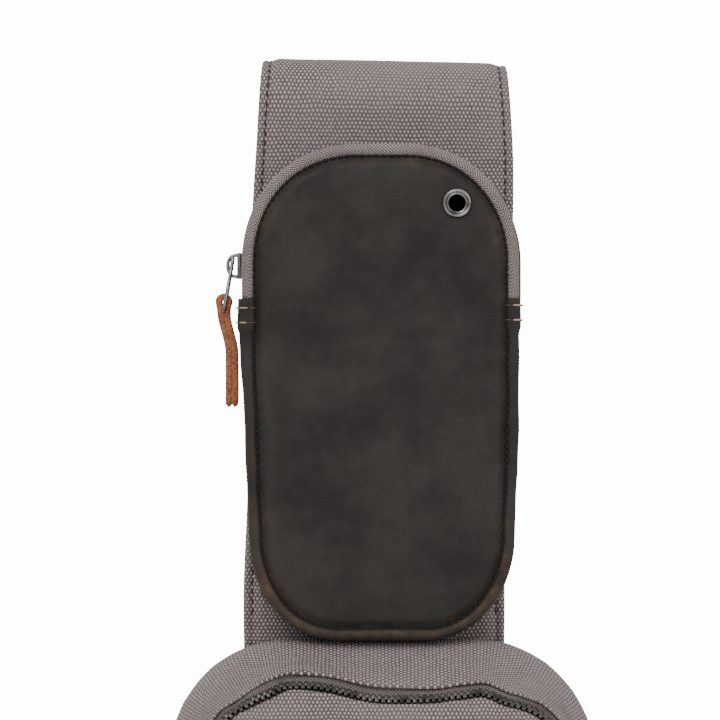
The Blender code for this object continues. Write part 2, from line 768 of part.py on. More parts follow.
def body_point(x_side, z):
    """A point of the main zip's chain on the left (-1) or right (+1) side, on its straight stretch."""
    left = clipped(body_outline(), z, above=True)
    edge = left[0]
    normal = inward_normals(left, False)[0]
    x = edge[0] + normal[0] * MAIN_ZIP_INSET
    z_chain = edge[1] + normal[1] * MAIN_ZIP_INSET
    return Vector((-x_side * x, body_front(MAIN_ZIP_INSET, z_chain), z_chain))


def main_slider_matrix():
    here = body_point(-1, MAIN_SLIDER_Z)
    ahead = body_point(-1, MAIN_SLIDER_Z + 0.010)
    along = ahead - here
    across = 0.002
    left = clipped(body_outline(), MAIN_SLIDER_Z, above=True)
    normal = inward_normals(left, False)[0]
    inner = body_front(MAIN_ZIP_INSET + across, here.z) - body_front(MAIN_ZIP_INSET - across, here.z)
    over = Vector((normal[0] * 2 * across, inner, normal[1] * 2 * across))
    outward = over.cross(along)
    if outward.y > 0:
        outward = -outward
    return placed(here, along, outward)


def front_slider_matrix():
    distance = BODY_HALF_WIDTH + FRONT_SLIDER_X
    y = body_front(distance, FRONT_ZIP_Z)
    origin = Vector((FRONT_SLIDER_X, y, FRONT_ZIP_Z))
    slope = (body_depth(FRONT_ZIP_Z + SLIDER_HALF_WIDTH) - body_depth(FRONT_ZIP_Z)) / SLIDER_HALF_WIDTH
    return placed(origin, Vector((1, 0, 0)), Vector((0, -1, -slope)))


def make_front_pull():
    """The front zip's leather pull, folded straight over the bail."""
    matrix = front_slider_matrix()
    crown = Matrix.Translation((FRONT_BAIL_REACH - BAIL_WIRE, 0, 0))
    hang = matrix @ crown @ Matrix.Rotation(math.pi / 2, 4, "X")
    make_leather_pull("front_pull_leather", hang, FRONT_PULL_LENGTH, 0.0022, 0.0021, 0.0)


# ---------------------------------------------------------------- webbing


def make_webbing():
    back_y = BEND_RADIUS + 0.0015 + STRAP_HALF_THICKNESS + GAP + WEBBING / 2
    upper = [
        (back_y - 0.0005, -0.056),
        (back_y, STRAP_TAIL_Z),
        (back_y - 0.0005, -0.095),
        (back_y - 0.004, -0.125),
        (MAIN_LAYER_Y + 0.005, -0.255),
        (MAIN_LAYER_Y + 0.001, -0.290),
        (MAIN_LAYER_Y, -0.315),
        (MAIN_LAYER_Y, WEBBING_SPLIT_Z),
    ]
    strip("webbing_upper", subdivided(upper, 0.040), WEBBING, WEBBING_HALF_WIDTH, "webbing")
    lower = [(MAIN_LAYER_Y, WEBBING_SPLIT_Z - GAP)]
    lower += arc((RING_Y, RING_TOP_Z), LOOP_RADIUS, 0, -180, 10)
    lower += [(RETURN_LAYER_Y, WEBBING_SPLIT_Z - GAP)]
    strip("webbing_lower", lower, WEBBING, WEBBING_HALF_WIDTH, "webbing")
    back = [(RETURN_LAYER_Y, WEBBING_SPLIT_Z), (RETURN_LAYER_Y, TRIGLIDE_Z + 0.008)]
    strip("webbing_return", back, WEBBING, WEBBING_HALF_WIDTH, "webbing")
    patch_y = back_y + WEBBING / 2 + GAP + 0.0006
    patch = [(patch_y - 0.0003, -0.053), (patch_y, STRAP_TAIL_Z - 0.002)]
    strip("strap_patch", patch, 0.0012, 0.0180, "leather")


def make_triglide():
    """A frame with two outer bars behind the webbing and a middle bar in front of it."""
    half_x, half_z = TRIGLIDE_HALF_WIDTH, TRIGLIDE_HALF_HEIGHT
    y = MAIN_LAYER_Y
    bar = 0.0034
    middle = 0.0030
    clear = WEBBING / 2 + GAP
    inner_x = WEBBING_HALF_WIDTH + 0.0008
    front, rear = y - 0.0027, y + 0.0027
    outline = rectangle(-half_x, half_x, front, rear)
    frame = extrusion(outline, TRIGLIDE_Z - half_z, TRIGLIDE_Z + half_z)
    obj = add_object("triglide", frame, "plastic")
    low, high = TRIGLIDE_Z - half_z, TRIGLIDE_Z + half_z
    far = 0.003
    cuts = [
        ((-inner_x, y - clear, low - far), (inner_x, y + clear, high + far)),
        ((-inner_x, y, low + bar), (inner_x, rear + far, high - bar)),
        ((-inner_x, front - far, low - far), (inner_x, y, TRIGLIDE_Z - middle)),
        ((-inner_x, front - far, TRIGLIDE_Z + middle), (inner_x, y, high + far)),
    ]
    subtract(obj, [box_cutter(f"triglide_cutter_{i}", *cut) for i, cut in enumerate(cuts)])


def make_ring():
    corner = 0.0030
    half = RING_HALF_WIDTH - corner
    outline = arc((half, RING_TOP_Z - corner), corner, 0, 90, 4)
    outline += arc((-half, RING_TOP_Z - corner), corner, 90, 180, 4)
    outline += arc((-half, RING_LOW_Z + corner), corner, 180, 270, 4)
    outline += arc((half, RING_LOW_Z + corner), corner, 270, 360, 4)
    wire("ring", [(x, RING_Y, z) for x, z in outline], RING_WIRE, "metal", cyclic=True)


def make_anchor_tab():
    """Webbing folded over the ring's lower bar and sewn to the back panel's foot."""
    direction = Vector((0.68, 0.73)).normalized()
    turn = math.degrees(math.atan2(direction.y, direction.x))
    centre = Vector((RING_Y, RING_LOW_Z))
    side = Vector((-direction.y, direction.x)) * LOOP_RADIUS
    back = STRAP_Y + STRAP_HALF_THICKNESS + GAP + WEBBING / 2
    upper_start = centre + side - direction * 0.004
    lower_start = centre - side - direction * 0.004
    path = [(back, -0.499), (back, -0.488), tuple(upper_start)]
    path += arc(tuple(centre), LOOP_RADIUS, turn + 90, turn - 90, 10)
    path += [tuple(lower_start), (back + 0.0020, -0.492), (back + 0.0020, -0.499)]
    strip("anchor_tab", path, WEBBING, WEBBING_HALF_WIDTH, "webbing")


def main():
    clear_scene()
    make_strap()
    make_pocket()
    make_eyelet()
    make_slider("pocket", pocket_slider_matrix(), BAIL_REACH)
    make_linked_pull("pocket", pocket_slider_matrix())
    make_body()
    make_inside()
    make_back()
    make_slider("main", main_slider_matrix(), BAIL_REACH)
    make_linked_pull("main", main_slider_matrix())
    make_slider("front", front_slider_matrix(), FRONT_BAIL_REACH)
    make_front_pull()
    make_webbing()
    make_triglide()
    make_ring()
    make_anchor_tab()


main()
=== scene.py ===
"""Looks of the sling bag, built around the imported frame. Metres, +Z up, the front faces -Y."""

import json
import math

import bmesh
import bpy
import numpy as np
from mathutils import Matrix, Vector, noise


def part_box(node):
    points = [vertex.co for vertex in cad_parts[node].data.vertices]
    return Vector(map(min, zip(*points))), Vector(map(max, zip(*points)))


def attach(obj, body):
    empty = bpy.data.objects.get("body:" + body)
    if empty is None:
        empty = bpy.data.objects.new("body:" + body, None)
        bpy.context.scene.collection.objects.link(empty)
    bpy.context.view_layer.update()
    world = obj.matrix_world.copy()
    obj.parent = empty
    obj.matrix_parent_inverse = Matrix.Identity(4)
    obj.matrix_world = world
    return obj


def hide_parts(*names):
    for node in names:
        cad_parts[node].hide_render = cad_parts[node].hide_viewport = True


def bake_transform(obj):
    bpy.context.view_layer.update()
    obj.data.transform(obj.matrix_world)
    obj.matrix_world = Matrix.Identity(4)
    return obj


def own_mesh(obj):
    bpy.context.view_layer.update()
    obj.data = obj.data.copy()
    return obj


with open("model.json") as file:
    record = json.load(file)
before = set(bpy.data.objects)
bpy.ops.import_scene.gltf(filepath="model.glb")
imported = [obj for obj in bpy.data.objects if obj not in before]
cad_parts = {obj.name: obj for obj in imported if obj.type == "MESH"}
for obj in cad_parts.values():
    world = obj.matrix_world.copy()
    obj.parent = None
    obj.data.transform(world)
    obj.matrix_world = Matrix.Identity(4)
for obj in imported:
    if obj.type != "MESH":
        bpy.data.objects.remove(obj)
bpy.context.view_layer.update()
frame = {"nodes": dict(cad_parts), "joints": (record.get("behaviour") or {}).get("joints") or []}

# Frame facts: the strap panel, the phone pocket and the bag body as the CAD has them.
STRAP_HALF_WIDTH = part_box("strap_canvas")[1].x
STRAP_TOP_HALF_WIDTH = 0.0447
STRAP_THICKNESS = 0.0054
STRAP_Y = -0.018
STRAP_TAIL_Z = -0.078
BEND_RADIUS = 0.0165
BEND_CENTRE_Z = STRAP_THICKNESS / 2 - BEND_RADIUS
SEAM_IN = 0.0032

POCKET_HALF_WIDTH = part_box("pocket_gusset")[1].x
POCKET_TOP_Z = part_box("pocket_zip_tape_front")[1].z
POCKET_BOTTOM_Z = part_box("pocket_gusset")[0].z
POCKET_TOP_RADIUS = 0.041
POCKET_BOTTOM_RADIUS = 0.034
POCKET_BACK = -0.021
POCKET_WALL_DEPTH = 0.0168
POCKET_ROLL = 0.0024
POCKET_ROLL_RISE = 0.0031
POCKET_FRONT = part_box("pocket_front_panel")[0].y
POCKET_SEAM_INSET = 0.0046
POCKET_SEAM_DEPTH = 0.0184
POCKET_GUSSET_TOP_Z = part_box("pocket_gusset")[1].z
POCKET_ZIP_DEPTH = 0.009
EYELET = Vector((0.0274, POCKET_FRONT, -0.0467))

BODY_TOP_Z = -0.2068
BODY_BOTTOM_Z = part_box("lower_gusset")[0].z
BODY_HALF_WIDTH = 0.086
BODY_SHOULDER_HALF_WIDTH = 0.078
BODY_TOP_RADIUS = 0.044
BODY_BOTTOM_RADIUS = 0.050
BODY_WIDEST_Z = -0.370
BODY_BACK = POCKET_BACK
BODY_DEPTH_Z = (-0.505, -0.470, -0.430, -0.355, -0.252, -0.226, -0.208)
BODY_DEPTH = (0.062, 0.076, 0.082, 0.0765, 0.046, 0.036, 0.024)
BODY_WALL_SHARE = 0.4
BODY_DOME = 0.044
BODY_DOME_POWER = 2.4
MAIN_ZIP_INSET = 0.016
MAIN_ZIP_END_Z = -0.345
FRONT_ZIP_Z = -0.385
FRONT_ZIP_HALF_LENGTH = 0.046
SPINE_TOP_Z = -0.275
SPINE_LOW_Z = -0.445
TAPE_HALF = 0.0046
HINGE_Z = -0.210

CLOTH = 0.0011
CUTTER_DEPTH = 0.02
WEBBING_HALF_WIDTH = 0.0125
WEBBING_THICKNESS = 0.0013

JOINTS = {joint["name"]: joint for joint in frame["joints"]}


# ---------------------------------------------------------------- camera and light

VIEW_CENTRE = Vector((-0.0080, POCKET_FRONT, -0.1040))
VIEW_WIDTH = 0.2628
LENS = 300.0
SENSOR = 36.0
BACKDROP_STRENGTH = 14.0
FLOOR_DROP = 0.09


def add_object(name, data):
    obj = bpy.data.objects.new(name, data)
    bpy.context.scene.collection.objects.link(obj)
    return obj


def make_camera():
    data = bpy.data.cameras.new("camera")
    data.lens = LENS
    data.sensor_width = SENSOR
    data.clip_start = 0.05
    data.clip_end = 20.0
    camera = add_object("camera", data)
    distance = VIEW_WIDTH * LENS / SENSOR
    camera.location = VIEW_CENTRE - Vector((0, distance, 0))
    camera.rotation_euler = (math.pi / 2, 0, 0)
    bpy.context.scene.camera = camera


def make_world():
    """Soft white surroundings, dimmer below, with a white backdrop behind the object."""
    world = bpy.data.worlds.new("studio")
    world.use_nodes = True
    tree = world.node_tree
    place = tree.nodes.new("ShaderNodeTexCoord")
    split = tree.nodes.new("ShaderNodeSeparateXYZ")
    tree.links.new(place.outputs["Generated"], split.inputs[0])
    shade = tree.nodes.new("ShaderNodeMapRange")
    for name, value in (("From Min", -0.7), ("From Max", 0.6), ("To Min", 0.30), ("To Max", 1.05)):
        shade.inputs[name].default_value = value
    tree.links.new(split.outputs["Z"], shade.inputs["Value"])
    ray = tree.nodes.new("ShaderNodeLightPath")
    bright = tree.nodes.new("ShaderNodeMix")
    tree.links.new(ray.outputs["Is Camera Ray"], bright.inputs[0])
    tree.links.new(shade.outputs["Result"], bright.inputs[2])
    bright.inputs[3].default_value = BACKDROP_STRENGTH
    tree.links.new(bright.outputs[0], tree.nodes["Background"].inputs["Strength"])
    tree.nodes["Background"].inputs["Color"].default_value = (1.0, 1.0, 1.0, 1.0)
    bpy.context.scene.world = world


def area_light(name, location, target, size, power):
    data = bpy.data.lights.new(name, "AREA")
    data.shape = "SQUARE"
    data.size = size
    data.energy = power
    light = add_object(name, data)
    light.location = location
    direction = Vector(target) - Vector(location)
    light.rotation_euler = direction.to_track_quat("-Z", "Y").to_euler()


def make_studio():
    make_world()
    middle = (0, 0, -0.2)
    area_light("key", (-0.5, -1.1, 0.9), middle, 0.7, 8.0)
    area_light("fill", (1.0, -0.9, 0.1), middle, 1.0, 3.0)
    area_light("back_left", (-0.9, 1.2, 0.8), middle, 1.0, 8.0)
    floor_z = BODY_BOTTOM_Z - FLOOR_DROP
    corners = [(x, y, floor_z) for y in (-1.0, 1.0) for x in (-1.0, 1.0)]
    paint = plain_material("floor_paint", (0.86, 0.86, 0.86), 0.8)
    mesh_object("floor", corners, grid_faces(2, 2), paint)


# ---------------------------------------------------------------- material tools


class Shader:
    """A Principled material and short calls to add nodes to it."""

    def __init__(self, name, roughness=0.8, metallic=0.0):
        self.material = bpy.data.materials.new(name)
        self.material.use_nodes = True
        self.tree = self.material.node_tree
        self.bsdf = self.tree.nodes["Principled BSDF"]
        self.set("Roughness", roughness)
        self.set("Metallic", metallic)

    def set(self, socket, value):
        if hasattr(value, "is_output"):
            self.tree.links.new(value, self.bsdf.inputs[socket])
        else:
            self.bsdf.inputs[socket].default_value = value

    def plug(self, socket, value):
        if hasattr(value, "is_output"):
            self.tree.links.new(value, socket)
        else:
            socket.default_value = value

    def node(self, kind, **inputs):
        made = self.tree.nodes.new(kind)
        for name, value in inputs.items():
            self.plug(made.inputs[name], value)
        return made

    def math(self, operation, first, second=0.0):
        made = self.tree.nodes.new("ShaderNodeMath")
        made.operation = operation
        for socket, value in zip(made.inputs, (first, second)):
            self.plug(socket, value)
        return made.outputs[0]

    def times(self, first, second):
        return self.math("MULTIPLY", first, second)

    def plus(self, first, second):
        return self.math("ADD", first, second)

    def wave(self, run, pitch):
        return self.math("SINE", self.times(run, 2 * math.pi / pitch))

    def attribute(self, name, output="Vector"):
        made = self.tree.nodes.new("ShaderNodeAttribute")
        made.attribute_name = name
        return made.outputs[output]

    def weave(self):
        return self.node("ShaderNodeSeparateXYZ", Vector=self.attribute("weave")).outputs[:2]

    def place(self):
        return self.tree.nodes.new("ShaderNodeTexCoord").outputs["Object"]

    def noise(self, scale, detail=3.0, vector=None, roughness=0.55):
        made = self.node("ShaderNodeTexNoise", Scale=scale, Detail=detail, Roughness=roughness)
        self.tree.links.new(vector or self.place(), made.inputs["Vector"])
        return made.outputs["Fac"]

    def ramp(self, value, low, high, low_out=0.0, high_out=1.0):
        made = self.tree.nodes.new("ShaderNodeMapRange")
        made.interpolation_type = "SMOOTHSTEP"
        ends = {"From Min": low, "From Max": high, "To Min": low_out, "To Max": high_out}
        for name, number in ends.items():
            made.inputs[name].default_value = number
        self.plug(made.inputs["Value"], value)
        return made.outputs["Result"]

    def mix(self, factor, first, second):
        made = self.tree.nodes.new("ShaderNodeMix")
        made.data_type = "RGBA"
        for index, value in ((0, factor), (6, first), (7, second)):
            if isinstance(value, tuple) and len(value) == 3:
                value = (*value, 1.0)
            self.plug(made.inputs[index], value)
        return made.outputs[2]

    def bump(self, height, distance, strength=1.0):
        made = self.node("ShaderNodeBump", Strength=strength, Distance=distance, Height=height)
        if self.bsdf.inputs["Normal"].is_linked:
            self.tree.links.new(self.bsdf.inputs["Normal"].links[0].from_socket, made.inputs["Normal"])
        self.set("Normal", made.outputs[0])


def plain_material(name, colour, roughness, metallic=0.0):
    """A single finish broken up by fine noise in its colour, gloss and surface."""
    shader = Shader(name, roughness, metallic)
    fine = shader.noise(900.0, 2.0)
    broad = shader.noise(60.0, 3.0)
    darker = tuple(0.86 * part for part in colour)
    shader.set("Base Color", shader.mix(shader.ramp(broad, 0.35, 0.65), darker, colour))
    shader.set("Roughness", shader.ramp(broad, 0.3, 0.7, roughness - 0.06, roughness + 0.06))
    shader.bump(fine, 0.00003)
    return shader.material


# ---------------------------------------------------------------- materials

WEAVE = 0.00150
WEAVE_ROWS = 0.90


def canvas_material(name, light, dark, pitch=WEAVE):
    """Coarse plain weave: light thread crowns in offset rows over darker gaps, with slubs and fading. The
    darkness of the gaps is painted shade.
    """
    shader = Shader(name, 0.92)
    wobble = shader.noise(140.0, 2.0)
    u, v = shader.weave()
    shift = shader.times(wobble, 0.0011)
    u = shader.math("DIVIDE", shader.plus(u, shift), pitch)
    v = shader.math("DIVIDE", shader.plus(v, shift), WEAVE_ROWS * pitch)
    offset = shader.times(shader.math("FLOOR", v), 0.5)
    across = shader.wave(shader.plus(u, offset), 1.0)
    along = shader.math("SINE", shader.times(shader.math("FRACT", v), math.pi))
    crown = shader.times(shader.plus(shader.times(across, 0.5), 0.5), along)
    slub = shader.noise(620.0, 2.0)
    height = shader.plus(crown, shader.times(slub, 0.45))
    # Painted shade: the low places between the thread crowns take the near-black dark colour.
    thread = shader.ramp(height, 0.15, 1.15)
    fade = shader.ramp(shader.noise(22.0, 4.0), 0.3, 0.7)
    middle = tuple(0.5 * (a + b) for a, b in zip(light, dark))
    colour = shader.mix(thread, dark, light)
    worn = shader.mix(shader.times(fade, 0.35), colour, middle)
    shader.set("Base Color", worn)
    shader.bump(height, 0.00034)
    return shader.material


def leather_material(name, base, brown):
    """Dark waxed hide: faint cross grain, cloudy mottling and brown where the value stored on the points is
    high, which is edge rubbing and, on the pocket's front panel, also a painted highlight on the left and top
    edges.
    """
    shader = Shader(name, 0.55)
    shader.set("Specular IOR Level", 0.22)
    wear = shader.attribute("wear", "Fac")
    cloud = shader.noise(30.0, 6.0, roughness=0.65)
    blotch = shader.noise(75.0, 4.0)
    scuff = shader.ramp(shader.noise(260.0, 3.0), 0.35, 0.75)
    deep = tuple(0.50 * part for part in base)
    body = shader.mix(shader.ramp(cloud, 0.36, 0.66), deep, base)
    # Painted highlight: on the pocket's front panel the stored value also brightens the left and top edges.
    brown_amount = shader.times(wear, shader.ramp(blotch, 0.35, 0.62, 0.15, 1.0))
    brown_amount = shader.times(brown_amount, shader.plus(scuff, 0.35))
    brown_amount = shader.math("MINIMUM", brown_amount, 1.0)
    shader.set("Base Color", shader.mix(brown_amount, body, brown))
    shader.set("Roughness", shader.ramp(cloud, 0.3, 0.7, 0.50, 0.66))
    grain_u = shader.noise(1.0, 3.0, stretched(shader, 260.0, 260.0, 1700.0))
    grain_v = shader.noise(1.0, 3.0, stretched(shader, 1700.0, 260.0, 260.0))
    shader.bump(shader.plus(grain_u, grain_v), 0.00009)
    shader.bump(blotch, 0.0004, 0.5)
    return shader.material


def stretched(shader, x, y, z):
    """Object coordinates scaled by a different amount along each axis."""
    made = shader.node("ShaderNodeVectorMath", Vector=shader.place())
    made.operation = "MULTIPLY"
    made.inputs[1].default_value = (x, y, z)
    return made.outputs[0]


def tape_material(name, light, dark):
    """Herringbone zip tape: diagonal ribs that turn back half way across, with painted shade in the troughs
    between the ribs.
    """
    shader = Shader(name, 0.9)
    u, v = shader.weave()
    half_way = shader.math("SUBTRACT", shader.math("FRACT", shader.math("DIVIDE", u, 0.0046)), 0.5)
    lean = shader.times(shader.math("ABSOLUTE", half_way), 0.0052)
    ribs = shader.wave(shader.plus(v, lean), 0.00125)
    height = shader.plus(ribs, shader.noise(700.0, 2.0))
    fade = shader.ramp(shader.noise(45.0, 3.0), 0.35, 0.65, 0.75, 1.0)
    # Painted shade: the troughs of the ribs take the dark colour.
    tone = shader.times(shader.ramp(height, -0.4, 1.5), fade)
    shader.set("Base Color", shader.mix(tone, dark, light))
    shader.bump(height, 0.00022)
    return shader.material


def webbing_material(name, light, dark):
    """Ribbed webbing: cords along its length with a fine cross weave, with painted shade between the cords.
    """
    shader = Shader(name, 0.85)
    u, v = shader.weave()
    ribs = shader.math("ABSOLUTE", shader.math("SINE", shader.times(u, math.pi / 0.0016)))
    picks = shader.wave(v, 0.0011)
    height = shader.plus(ribs, shader.times(picks, 0.35))
    height = shader.plus(height, shader.times(shader.noise(500.0), 0.5))
    # Painted shade: the valleys between the cords take the dark colour.
    shader.set("Base Color", shader.mix(shader.ramp(height, 0.0, 1.5), dark, light))
    shader.bump(height, 0.0003)
    return shader.material


def suede_material(name, light, dark):
    """Rough tan leather: pitted grain and lighter rubbed spots."""
    shader = Shader(name, 0.85)
    grain = shader.noise(850.0, 4.0, roughness=0.7)
    cloud = shader.noise(180.0, 3.0)
    tone = shader.plus(shader.times(grain, 0.75), shader.times(cloud, 0.25))
    shader.set("Base Color", shader.mix(shader.ramp(tone, 0.36, 0.64), dark, light))
    shader.set("Roughness", shader.ramp(cloud, 0.3, 0.7, 0.78, 0.92))
    shader.bump(grain, 0.00035)
    return shader.material


def metal_material(name, light, dark, roughness):
    """Plated metal with a clouded finish, fine scratches and dull spots."""
    shader = Shader(name, roughness, 1.0)
    cloud = shader.noise(240.0, 4.0)
    scratch = shader.noise(1.0, 2.0, stretched(shader, 300.0, 300.0, 2600.0))
    shader.set("Base Color", shader.mix(shader.ramp(cloud, 0.4, 0.7), light, dark))
    shader.set("Roughness", shader.ramp(cloud, 0.3, 0.7, roughness - 0.08, roughness + 0.14))
    shader.bump(scratch, 0.00004)
    return shader.material


def mesh_material(name, light, dark):
    """Spacer mesh: rows of small dark holes in a knitted net."""
    shader = Shader(name, 0.9)
    u, v = shader.weave()
    holes = shader.math("ABSOLUTE", shader.times(shader.wave(u, 0.0046), shader.wave(v, 0.0040)))
    height = shader.plus(shader.ramp(holes, 0.25, 0.7, 1.0, 0.0), shader.noise(900.0))
    shader.set("Base Color", shader.mix(shader.ramp(height, 0.4, 1.4), dark, light))
    shader.bump(height, 0.0005)
    return shader.material


def make_materials():
    return {
        # The canvas and lining dark colours are painted shade in the gaps of the weave.
        "canvas": canvas_material("canvas_weave", (0.50, 0.415, 0.41), (0.066, 0.050, 0.048)),
        "leather": leather_material("waxed_leather", (0.0365, 0.0310, 0.0280), (0.092, 0.054, 0.034)),
        # The tapes' dark colours are painted shade in the troughs of their ribs.
        "tape": tape_material("zip_tape_herringbone", (0.50, 0.42, 0.40), (0.12, 0.092, 0.086)),
        "dark_tape": tape_material("main_tape_herringbone", (0.34, 0.285, 0.27), (0.090, 0.072, 0.066)),
        # The webbing's dark colour is painted shade between its cords.
        "webbing": webbing_material("webbing_ribs", (0.165, 0.135, 0.120), (0.035, 0.027, 0.023)),
        "tan": suede_material("tan_suede", (0.46, 0.175, 0.075), (0.17, 0.050, 0.022)),
        "nickel": metal_material("satin_nickel", (0.34, 0.335, 0.33), (0.13, 0.127, 0.125), 0.26),
        "teeth": metal_material("gunmetal_teeth", (0.105, 0.100, 0.090), (0.035, 0.034, 0.031), 0.40),
        "mesh": mesh_material("spacer_mesh_net", (0.055, 0.050, 0.047), (0.006, 0.006, 0.006)),
        "lining": canvas_material("lining_cloth", (0.10, 0.085, 0.075), (0.035, 0.028, 0.024), 0.0006),
        "binding": tape_material("seam_binding", (0.14, 0.115, 0.10), (0.04, 0.03, 0.026)),
        "foam_cover": plain_material("foam_cover_cloth", (0.050, 0.042, 0.039), 0.95),
        "plastic": plain_material("moulded_black", (0.022, 0.021, 0.020), 0.42),
        "thread_dark": plain_material("dark_thread", (0.030, 0.024, 0.022), 0.7),
        # The black thread is also a painted shade line along the pocket's seam.
        "black_thread_and_seam_shade": plain_material("black_seam_thread_and_shade", (0.008, 0.007, 0.006), 0.85),
        "thread_beige": plain_material("beige_thread", (0.42, 0.30, 0.19), 0.7),
    }


# ---------------------------------------------------------------- mesh tools


def mesh_object(name, verts, faces, material):
    mesh = bpy.data.meshes.new(name)
    mesh.from_pydata([tuple(v) for v in verts], [], faces)
    mesh.materials.append(material)
    mesh.shade_smooth()
    mesh.update()
    return add_object(name, mesh)


def grid_faces(rows, cols, closed_rows=False, closed_cols=False):
    faces = []
    for r in range(rows if closed_rows else rows - 1):
        below, above = r * cols, (r + 1) % rows * cols
        for c in range(cols if closed_cols else cols - 1):
            d = (c + 1) % cols
            faces.append((below + c, below + d, above + d, above + c))
    return faces


def grid_normals(rows, closed_cols):
    """Unit normals of a grid of points."""
    along = np.gradient(rows, axis=0)
    if closed_cols:
        across = np.roll(rows, -1, axis=1) - np.roll(rows, 1, axis=1)
    else:
        across = np.gradient(rows, axis=1)
    normals = np.cross(across, along)
    length = np.linalg.norm(normals, axis=2, keepdims=True)
    return normals / np.maximum(length, 1e-12)


def turned_out(rows, closed, centre):
    """Unit normals of a grid of points that look away from a point inside."""
    normals = grid_normals(rows, closed)
    return -normals if (normals * (rows - np.array(centre))).sum() < 0 else normals


def distances_along(line):
    """How far along a line each of its points lies."""
    return np.concatenate([[0.0], np.cumsum(np.linalg.norm(np.diff(line, axis=0), axis=1))])


def sample(line, run, places):
    """Points of a line at some places along it. run says how far along each of its points lies."""
    return np.stack([np.interp(places, run, line[:, k]) for k in range(line.shape[1])], axis=1)


def left_normals(line):
    """Unit normals on the left-hand side of a line in a plane."""
    run = np.gradient(line, axis=0)
    return unit(np.stack([-run[:, 1], run[:, 0]], axis=1))


def lengths(rows, axis):
    """Distance run along one direction of a grid, measured on its middle line."""
    middle = rows.shape[1 - axis] // 2
    return distances_along(rows[:, middle] if axis == 0 else rows[middle])


def set_weave(obj, coordinates):
    """Stores weave coordinates, in metres, on the mesh's points."""
    attribute = obj.data.attributes.new("weave", "FLOAT_VECTOR", "POINT")
    full = np.zeros((len(obj.data.vertices), 3), np.float32)
    full[:, :2] = coordinates
    attribute.data.foreach_set("vector", full.ravel())


def set_wear(obj, values):
    attribute = obj.data.attributes.new("wear", "FLOAT", "POINT")
    attribute.data.foreach_set("value", np.asarray(values, np.float32))


def shell(
    name, rows, material, centre, thickness=CLOTH,
    closed_cols=False, flat_weave=False, wear=None, ends_in_spine=False,
):
    """A closed piece of cloth from a grid of points on its outer face, with rounded first and last rows.

    The outer face looks away from centre. With ends_in_spine the last row closes on itself."""
    normals = turned_out(rows, closed_cols, centre)
    first_turn = edge_rows(rows, normals, thickness, 0)
    last_turn = rows[:0] if ends_in_spine else edge_rows(rows, normals, thickness, -1)
    inner = (rows - normals * thickness)[::-1]
    points = np.concatenate([rows, last_turn, inner, first_turn], axis=0)
    count_rows, count_cols = points.shape[:2]
    faces = grid_faces(count_rows, count_cols, True, closed_cols)
    if ends_in_spine:
        start = (len(rows) - 1) * count_cols
        faces = faces[:start] + faces[start + count_cols :]
    if not closed_cols:
        for column in (0, count_cols - 1):
            faces.append([r * count_cols + column for r in range(count_rows)])
    obj = mesh_object(name, points.reshape(-1, 3), faces, material)
    if flat_weave:
        weave = points[:, :, [0, 2]].reshape(-1, 2)
    else:
        run = lengths(rows, 0)
        run = np.concatenate([run, np.full(len(last_turn), run[-1]), run[::-1], np.zeros(len(first_turn))])
        weave = np.stack(np.meshgrid(run, lengths(rows, 1), indexing="ij"), axis=2).reshape(-1, 2)
    set_weave(obj, weave)
    if wear is not None:
        last_wear = np.repeat(wear[-1:], len(last_turn), 0)
        first_wear = np.repeat(wear[:1], len(first_turn), 0)
        set_wear(obj, np.concatenate([wear, last_wear, wear[::-1], first_wear], axis=0).ravel())
    tidy_mesh(obj)
    return obj


def edge_rows(rows, normals, thickness, index):
    """Half a turn of rows round the first (0) or last (-1) edge of a sheet."""
    edge, normal = rows[index], normals[index]
    beside = rows[1] if index == 0 else rows[-2]
    outside = edge - beside
    outside /= np.maximum(np.linalg.norm(outside, axis=1, keepdims=True), 1e-12)
    middle = edge - normal * thickness / 2
    result = []
    for angle in (45, 90, 135):
        turn = math.radians(angle)
        reach = outside * math.sin(turn) + normal * math.cos(turn)
        result.append(middle + reach * thickness / 2)
    return np.array(result if index == -1 else result[::-1])


def tidy_mesh(obj):
    """Merges points that coincide and turns every face outward."""
    shape = bmesh.new()
    shape.from_mesh(obj.data)
    bmesh.ops.remove_doubles(shape, verts=shape.verts, dist=0.00001)
    bmesh.ops.recalc_face_normals(shape, faces=shape.faces)
    shape.to_mesh(obj.data)
    shape.free()


def swept(name, stations, material, closed=False, weave=None):
    """A closed solid through equal sections, with flat ends unless it is closed."""
    count, size = stations.shape[:2]
    faces = grid_faces(count, size, closed, True)
    if not closed:
        faces.append(list(range(size)))
        faces.append([(count - 1) * size + i for i in range(size)])
    obj = mesh_object(name, stations.reshape(-1, 3), faces, material)
    if weave is not None:
        set_weave(obj, weave.reshape(-1, 2))
    tidy_mesh(obj)
    return obj


def tube(name, points, radius, material, sides=10, closed=False):
    """A round wire or thread along a line of points."""
    points = np.asarray(points, float)
    if closed:
        run = np.roll(points, -1, axis=0) - np.roll(points, 1, axis=0)
    else:
        run = np.gradient(points, axis=0)
    run /= np.linalg.norm(run, axis=1, keepdims=True)
    side = np.cross(run[0], (0.31, 0.52, 0.79))
    stations = []
    for point, direction in zip(points, run):
        side = side - direction * (side @ direction)
        side /= np.linalg.norm(side)
        other = np.cross(direction, side)
        angles = np.arange(sides) * 2 * math.pi / sides
        stations.append(point + radius * (np.outer(np.cos(angles), side) + np.outer(np.sin(angles), other)))
    return swept(name, np.array(stations), material, closed)


